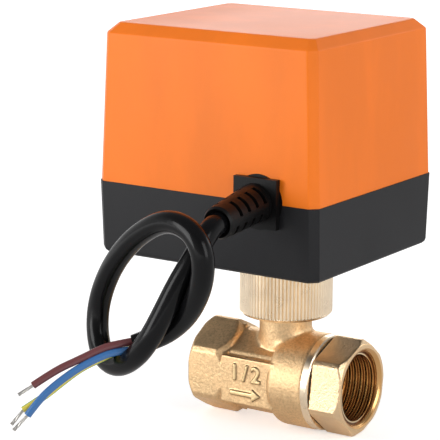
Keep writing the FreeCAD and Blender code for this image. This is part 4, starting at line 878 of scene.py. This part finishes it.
def flow_mark():
    """A raised arrow along the pipe."""
    s = sizes()
    half, stem, head = 5.0 * MM, 0.55 * MM, 1.7 * MM
    neck = half - 2.6 * MM
    corners = ((-half, -stem), (neck, -stem), (neck, -head), (half, 0.0), (neck, head),
               (neck, stem), (-half, stem))
    shape = bmesh.new()
    face = shape.faces.new([shape.verts.new((x, y, -s.numeral_relief)) for x, y in corners])
    grown = bmesh.ops.extrude_face_region(shape, geom=[face])["geom"]
    moved = [item for item in grown if isinstance(item, bmesh.types.BMVert)]
    bmesh.ops.translate(shape, verts=moved, vec=(0, 0, 2 * s.numeral_relief))
    bmesh.ops.recalc_face_normals(shape, faces=shape.faces)
    return on_pad(closed(shape, "flow_mark"), s.arrow_up)


def ring_skin(shape, rings, name):
    """The mesh between each ring of vertices and the next, and between the last and the first."""
    for ring, beside in zip(rings, rings[1:] + rings[:1]):
        for step in range(len(ring)):
            after = (step + 1) % len(ring)
            shape.faces.new((ring[step], ring[after], beside[after], beside[step]))
    bmesh.ops.recalc_face_normals(shape, faces=shape.faces)
    return closed(shape, name)


def turned_blank(outline, count):
    """A closed outline of radius and height, turned round the Z axis."""
    shape = bmesh.new()
    angles = [2 * math.pi * index / count for index in range(count)]
    rings = [
        [shape.verts.new((radius * math.cos(a), radius * math.sin(a), height)) for a in angles]
        for radius, height in outline
    ]
    return ring_skin(shape, rings, "turned_blank")


def connector_shoulder():
    """The back of the connector's hexagon, with its corners standing over the barrel's rim."""
    low, high = 15.85 * MM, 17.3 * MM
    flat, corner, hollow = 12.5 * MM, 14.0 * MM, 12.0 * MM
    spread = math.acos(flat / corner)
    twist = math.radians(-9.0)
    angles = [math.radians(60 * side) + twist + part
              for side in range(6) for part in (-spread, spread)]
    shape = bmesh.new()
    rings = [
        [shape.verts.new((x, away * math.cos(a), away * math.sin(a))) for a in angles]
        for x, away in ((low, corner), (high, corner), (high, hollow), (low, hollow))
    ]
    return ring_skin(shape, rings, "connector_shoulder")


def machined_rim():
    """The barrel's turned end, bright and sharp-edged."""
    sides = 192
    mesh = turned_blank((
        (12.3 * MM, 13.15 * MM), (13.60 * MM, 13.15 * MM), (13.71 * MM, 13.26 * MM),
        (13.71 * MM, 15.14 * MM), (13.33 * MM, 15.53 * MM), (12.3 * MM, 15.53 * MM),
    ), sides)
    mesh.transform(Matrix.Rotation(math.radians(90), 4, "Y"))
    mesh.materials.append(finish_of("rim_brass"))
    return smooth(mesh, 25.0)


# Threads.
def thread_ridge(name, start_x, outward):
    """The ridge of a pipe thread in a port, fading out at both ends."""
    s = sizes()
    t = Tree(name)
    pitch = t.input("Pitch", s.thread_pitch)
    height = t.input("Height", s.thread_height)
    length = t.input("Length", s.thread_run)
    radius = t.input("Radius", s.port_radius)
    turns = t.math("DIVIDE", length, pitch)
    spiral = t.node("GeometryNodeCurveSpiral", {}, 64, turns, radius, radius, length, False)
    upright = t.node("GeometryNodeSetCurveNormal", {"mode": "Z_UP"}, spiral)
    share = t.node("GeometryNodeSplineParameter", {})
    fade_in = t.math("MULTIPLY", share, 12.0)
    fade_out = t.math("MULTIPLY", t.math("SUBTRACT", 1.0, share), 10.0)
    fade = t.math("MINIMUM", t.math("MINIMUM", fade_in, fade_out), 1.0)
    tapered = t.node("GeometryNodeSetCurveRadius", {}, Curve=upright, Radius=fade)
    profile = t.node("GeometryNodeCurvePrimitiveQuadrilateral", {"mode": "TRAPEZOID"},
                     Height=height, Bottom_Width=t.math("MULTIPLY", pitch, 0.98),
                     Top_Width=t.math("MULTIPLY", pitch, 0.20), Offset=0.0)
    inward = t.node("ShaderNodeCombineXYZ", {}, 0.0, t.math("MULTIPLY", height, 0.42), 0.0)
    on_wall = t.node("GeometryNodeTransform", {}, Geometry=profile, Translation=inward)
    ridge = t.node("GeometryNodeCurveToMesh", {}, Curve=tapered, Profile_Curve=on_wall,
                   Fill_Caps=True)
    mesh = t.mesh(ridge, finish_of("thread_brass"))
    mesh.transform(Matrix.Rotation(math.radians(90), 4, "Y"))
    if not outward:
        mesh.transform(Matrix.Rotation(math.pi, 4, "Z"))
    mesh.transform(Matrix.Translation((start_x, 0, 0)))
    return add_piece(name, smooth(mesh, 25.0), "valve", "body_brass")


# The union nut.
def knurled_nut():
    """The turned nut with a groove pressed in between each two ridges."""
    s = sizes()
    low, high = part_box("union_nut")
    outer, bottom, top = high.x, low.z, high.z + s.nut_rise
    steps_per_ridge = 8
    bevel, soft = 0.8 * MM, 0.12 * MM
    bore, web, web_top = 11.58 * MM, 7.75 * MM, bottom + 2.5 * MM
    blank = turned_blank((
        (web, bottom), (outer - bevel - soft, bottom), (outer - bevel, bottom + soft * 0.4),
        (outer - soft, bottom + bevel - soft * 0.6), (outer, bottom + bevel + soft),
        (outer, top - bevel - soft), (outer - soft, top - bevel + soft * 0.6),
        (outer - bevel, top - soft * 0.4), (outer - bevel - soft, top), (bore + 0.5 * MM, top),
        (bore, top - 0.5 * MM), (bore, web_top), (web, web_top),
    ), s.knurl_count * steps_per_ridge)
    t = Tree("knurling")
    count = t.input("Ridges", s.knurl_count, "NodeSocketInt")
    depth = t.input("Depth", s.knurl_depth)
    width = t.input("Groove Share", 0.30)
    skin = t.input("Skin Radius", outer - 0.02 * MM)
    place = t.node("GeometryNodeInputPosition", {})
    axes = t.tree.nodes.new("ShaderNodeSeparateXYZ")
    t.tree.links.new(place, axes.inputs[0])
    x, y = axes.outputs["X"], axes.outputs["Y"]
    away = t.math("SQRT", t.math("ADD", t.math("MULTIPLY", x, x), t.math("MULTIPLY", y, y)))
    angle = t.math("ARCTAN2", y, x)
    share = t.math("FRACT", t.math("MULTIPLY", t.math("DIVIDE", angle, 2 * math.pi), count))
    off_middle = t.math("ABSOLUTE", t.math("SUBTRACT", share, 0.5))
    groove = t.math("MAXIMUM", t.math("SUBTRACT", 1.0, t.math("DIVIDE", off_middle, width)), 0.0)
    on_skin = t.math("GREATER_THAN", away, skin)
    inward = t.math("MULTIPLY", t.math("MULTIPLY", groove, depth), on_skin)
    scale = t.math("MULTIPLY", t.math("DIVIDE", inward, away), -1.0)
    move = t.node("ShaderNodeCombineXYZ", {}, t.math("MULTIPLY", x, scale),
                  t.math("MULTIPLY", y, scale), 0.0)
    cut = t.node("GeometryNodeSetPosition", {}, Geometry=t.geometry(), Offset=move)
    return smooth(t.mesh(cut, finish_of("nut_brass"), blank), 18.0)


# The stage.
def make_camera():
    studio = bpy.context.scene.valve_studio
    a, e = studio.azimuth, studio.elevation
    back = Vector((math.sin(a) * math.cos(e), -math.cos(a) * math.cos(e), math.sin(e)))
    camera = linked("camera", bpy.data.cameras.new("camera"))
    camera.data.lens = studio.focal_length
    camera.data.sensor_width = 36.0
    camera.data.clip_start = 0.01
    turn = (-back).to_track_quat("-Z", "Y").to_matrix().to_4x4()
    place = Vector(CAMERA_TARGET) + back * studio.distance
    camera.matrix_world = Matrix.Translation(place) @ turn @ Matrix.Rotation(studio.roll, 4, "Z")
    bpy.context.scene.camera = camera


def lamp(name, place, width, height, power):
    """A soft lamp that faces the middle of the valve."""
    data = bpy.data.lights.new(name, "AREA")
    data.shape = "RECTANGLE"
    data.size = width
    data.size_y = height
    data.energy = power
    turn = (Vector(LAMPS_TARGET) - Vector(place)).to_track_quat("-Z", "Y").to_matrix().to_4x4()
    linked(name, data).matrix_world = Matrix.Translation(place) @ turn


def make_stage():
    """A wide round floor just under the valve, the lamps and the sky."""
    studio = bpy.context.scene.valve_studio
    shape = bmesh.new()
    bmesh.ops.create_circle(shape, cap_ends=True, radius=FLOOR_RADIUS, segments=64)
    mesh = closed(shape, "floor")
    mesh.transform(Matrix.Translation((0, 0, CAD_BOX[0].z - FLOOR_GAP)))
    floor = linked("floor", mesh)
    mesh.materials.append(floor_finish())
    for name, (place, width, height) in LAMPS.items():
        lamp(name, place, width, height, getattr(studio, name))
    make_sky(studio.sky)


def make_sky(strength):
    """A white studio: pale at the horizon, grey overhead and darkest behind the camera."""
    world = bpy.data.worlds.new("studio")
    bpy.context.scene.world = world
    world.use_nodes = True
    w = Shading(world.node_tree)
    x, y, z = w.axes(w.node("ShaderNodeTexCoord", {}))
    azimuth = bpy.context.scene.valve_studio.azimuth
    ahead = (x * math.sin(azimuth) - y * math.cos(azimuth)).step(0.35, 1.0)
    overhead = w.blend(w.mirrored(), 0.42, 0.74)
    level = (1.0 - z.step(0.0, 0.8) * overhead) * (1.0 - ahead * 0.55)
    sky = w.mix(level, (0.0, 0.0, 0.0, 1.0), (1.0, 1.0, 1.0, 1.0))
    direct = w.larger(w.ray("Is Camera Ray"), w.mirrored())
    background = world.node_tree.nodes["Background"]
    w.fill(background.inputs["Color"], sky)
    w.fill(background.inputs["Strength"], w.blend(direct, strength, 1.0))


def floor_finish():
    """Pale paper that reads as white and keeps the shadow."""
    studio = bpy.context.scene.valve_studio
    f = Finish("floor_paper")
    place = f.place()
    paper = f.noise(place, 500.0, 3.0)
    tint = f.mix(paper, (0.86, 0.86, 0.86, 1.0), (0.90, 0.90, 0.90, 1.0))
    f.surface(Base_Color=tint, Roughness=0.9, Specular_IOR_Level=0.0)
    x, y, _ = f.axes(place)
    # Painted reflection: the floor in front of the key glows more for shiny surfaces, though no
    # lamp lights it there.
    glow_patch = (x * -0.55 - y * 0.83).step(0.18, 0.5) * studio.paper_glow_patch
    glow = f.ray("Is Camera Ray") * studio.paper + f.mirrored() * (glow_patch + studio.paper_reflected)
    seen = f.node("ShaderNodeEmission", {}, (1.0, 1.0, 1.0, 1.0), glow)
    both = f.node("ShaderNodeAddShader", {}, Field(f, f.shader.outputs[0]), seen)
    f.fill(f.tree.nodes["Material Output"].inputs["Surface"], both)
    return f.material


class VALVE_OT_stage(bpy.types.Operator):
    """Make the floor, the lamps, the sky and the camera"""
    bl_idname = "valve.stage"
    bl_label = "Studio"

    def execute(self, context):
        make_stage()
        make_camera()
        return {"FINISHED"}


class VALVE_OT_cable(bpy.types.Operator):
    """Make the cable's jacket, its three cores and their bare ends"""
    bl_idname = "valve.cable"
    bl_label = "Cable"

    def execute(self, context):
        make_cable()
        return {"FINISHED"}


class VALVE_OT_housing(bpy.types.Operator):
    """Finish the cover, the base, their seal and screws"""
    bl_idname = "valve.housing"
    bl_label = "Housing"

    def execute(self, context):
        moulding("moulded_base", "base_shell")
        moulding("moulded_cover", "cover_shell")
        dress("housing_seal", "cover_screws")
        return {"FINISHED"}


class VALVE_OT_boot(bpy.types.Operator):
    """Finish the strain relief"""
    bl_idname = "valve.boot"
    bl_label = "Strain relief"

    def execute(self, context):
        dress("strain_relief")
        return {"FINISHED"}


class VALVE_OT_body(bpy.types.Operator):
    """Finish the brass body and its end connector"""
    bl_idname = "valve.body"
    bl_label = "Valve body"

    def execute(self, context):
        add_casting("valve_body", flowing_foot(casting("valve_body", size_mark(), flow_mark())))
        add_casting("end_connector", casting("end_connector", connector_shoulder()))
        add_piece("machined_rim", machined_rim(), "valve", "body_brass")
        dress("body_seal", "snap_ring")
        return {"FINISHED"}


class VALVE_OT_threads(bpy.types.Operator):
    """Cut the pipe threads in both ports"""
    bl_idname = "valve.threads"
    bl_label = "Port threads"

    def execute(self, context):
        low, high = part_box("valve_body")[0].x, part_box("end_connector")[1].x
        depth = sizes().thread_inset + sizes().thread_run
        thread_ridge("thread_outlet", high - depth, True)
        thread_ridge("thread_inlet", low + depth, False)
        return {"FINISHED"}


class VALVE_OT_nut(bpy.types.Operator):
    """Finish the knurled union nut"""
    bl_idname = "valve.nut"
    bl_label = "Union nut"

    def execute(self, context):
        add_piece("knurled_nut", knurled_nut(), "nut", "nut_brass", "union_nut")
        return {"FINISHED"}


class VALVE_OT_trim(bpy.types.Operator):
    """Finish the ball, its seats, the stem and their seals"""
    bl_idname = "valve.trim"
    bl_label = "Ball and stem"

    def execute(self, context):
        dress("ball", "seat_inlet", "seat_outlet", "stem", "stem_o_rings", "thrust_washer")
        return {"FINISHED"}


class VALVE_OT_drive(bpy.types.Operator):
    """Finish the motor, the gear train and the output shaft"""
    bl_idname = "valve.drive"
    bl_label = "Motor and gears"

    def execute(self, context):
        dress("lower_gear_plate", "upper_gear_plate", "floor_pillars", "plate_pillars",
              "board_pillars", "gear_axle_1", "gear_axle_2", "compound_gear_1", "compound_gear_2",
              "motor", "motor_screws", "motor_pinion", "output_shaft", "output_gear",
              "output_bush")
        return {"FINISHED"}


class VALVE_OT_board(bpy.types.Operator):
    """Finish the circuit board, the cams and the switches"""
    bl_idname = "valve.board"
    bl_label = "Board and switches"

    def execute(self, context):
        dress("cam_open", "cam_closed", "circuit_board", "switch_open", "switch_closed",
              "plunger_open", "plunger_closed", "capacitor", "terminal_block")
        return {"FINISHED"}


OPERATORS = (
    VALVE_OT_stage, VALVE_OT_cable, VALVE_OT_housing, VALVE_OT_boot, VALVE_OT_body,
    VALVE_OT_threads, VALVE_OT_nut, VALVE_OT_trim, VALVE_OT_drive, VALVE_OT_board,
)


class VALVE_PT_panel(bpy.types.Panel):
    """Lists the makers and the settings that a user would change"""
    bl_idname = "VALVE_PT_panel"
    bl_label = "Motorized ball valve"
    bl_space_type = "VIEW_3D"
    bl_region_type = "UI"
    bl_category = "Valve"

    def draw(self, context):
        layout = self.layout
        for title, group in (("Sizes", context.scene.valve_sizes),
                             ("Colours", context.scene.valve_colours),
                             ("Studio", context.scene.valve_studio)):
            box = layout.box()
            box.label(text=title)
            for key in group.__annotations__:
                box.prop(group, key)
        for item in OPERATORS:
            layout.operator(item.bl_idname)


CLASSES = (ValveSizes, ValveColours, StudioSettings, *OPERATORS, VALVE_PT_panel)


def register():
    for item in CLASSES:
        bpy.utils.register_class(item)
    bpy.types.Scene.valve_sizes = PointerProperty(type=ValveSizes)
    bpy.types.Scene.valve_colours = PointerProperty(type=ValveColours)
    bpy.types.Scene.valve_studio = PointerProperty(type=StudioSettings)


def unregister():
    del bpy.types.Scene.valve_studio
    del bpy.types.Scene.valve_colours
    del bpy.types.Scene.valve_sizes
    for item in reversed(CLASSES):
        bpy.utils.unregister_class(item)


def main():
    register()
    bpy.context.scene.view_settings.view_transform = "Standard"
    for item in OPERATORS:
        getattr(bpy.ops.valve, item.bl_idname.split(".")[1])()


if __name__ == "__main__":
    main()
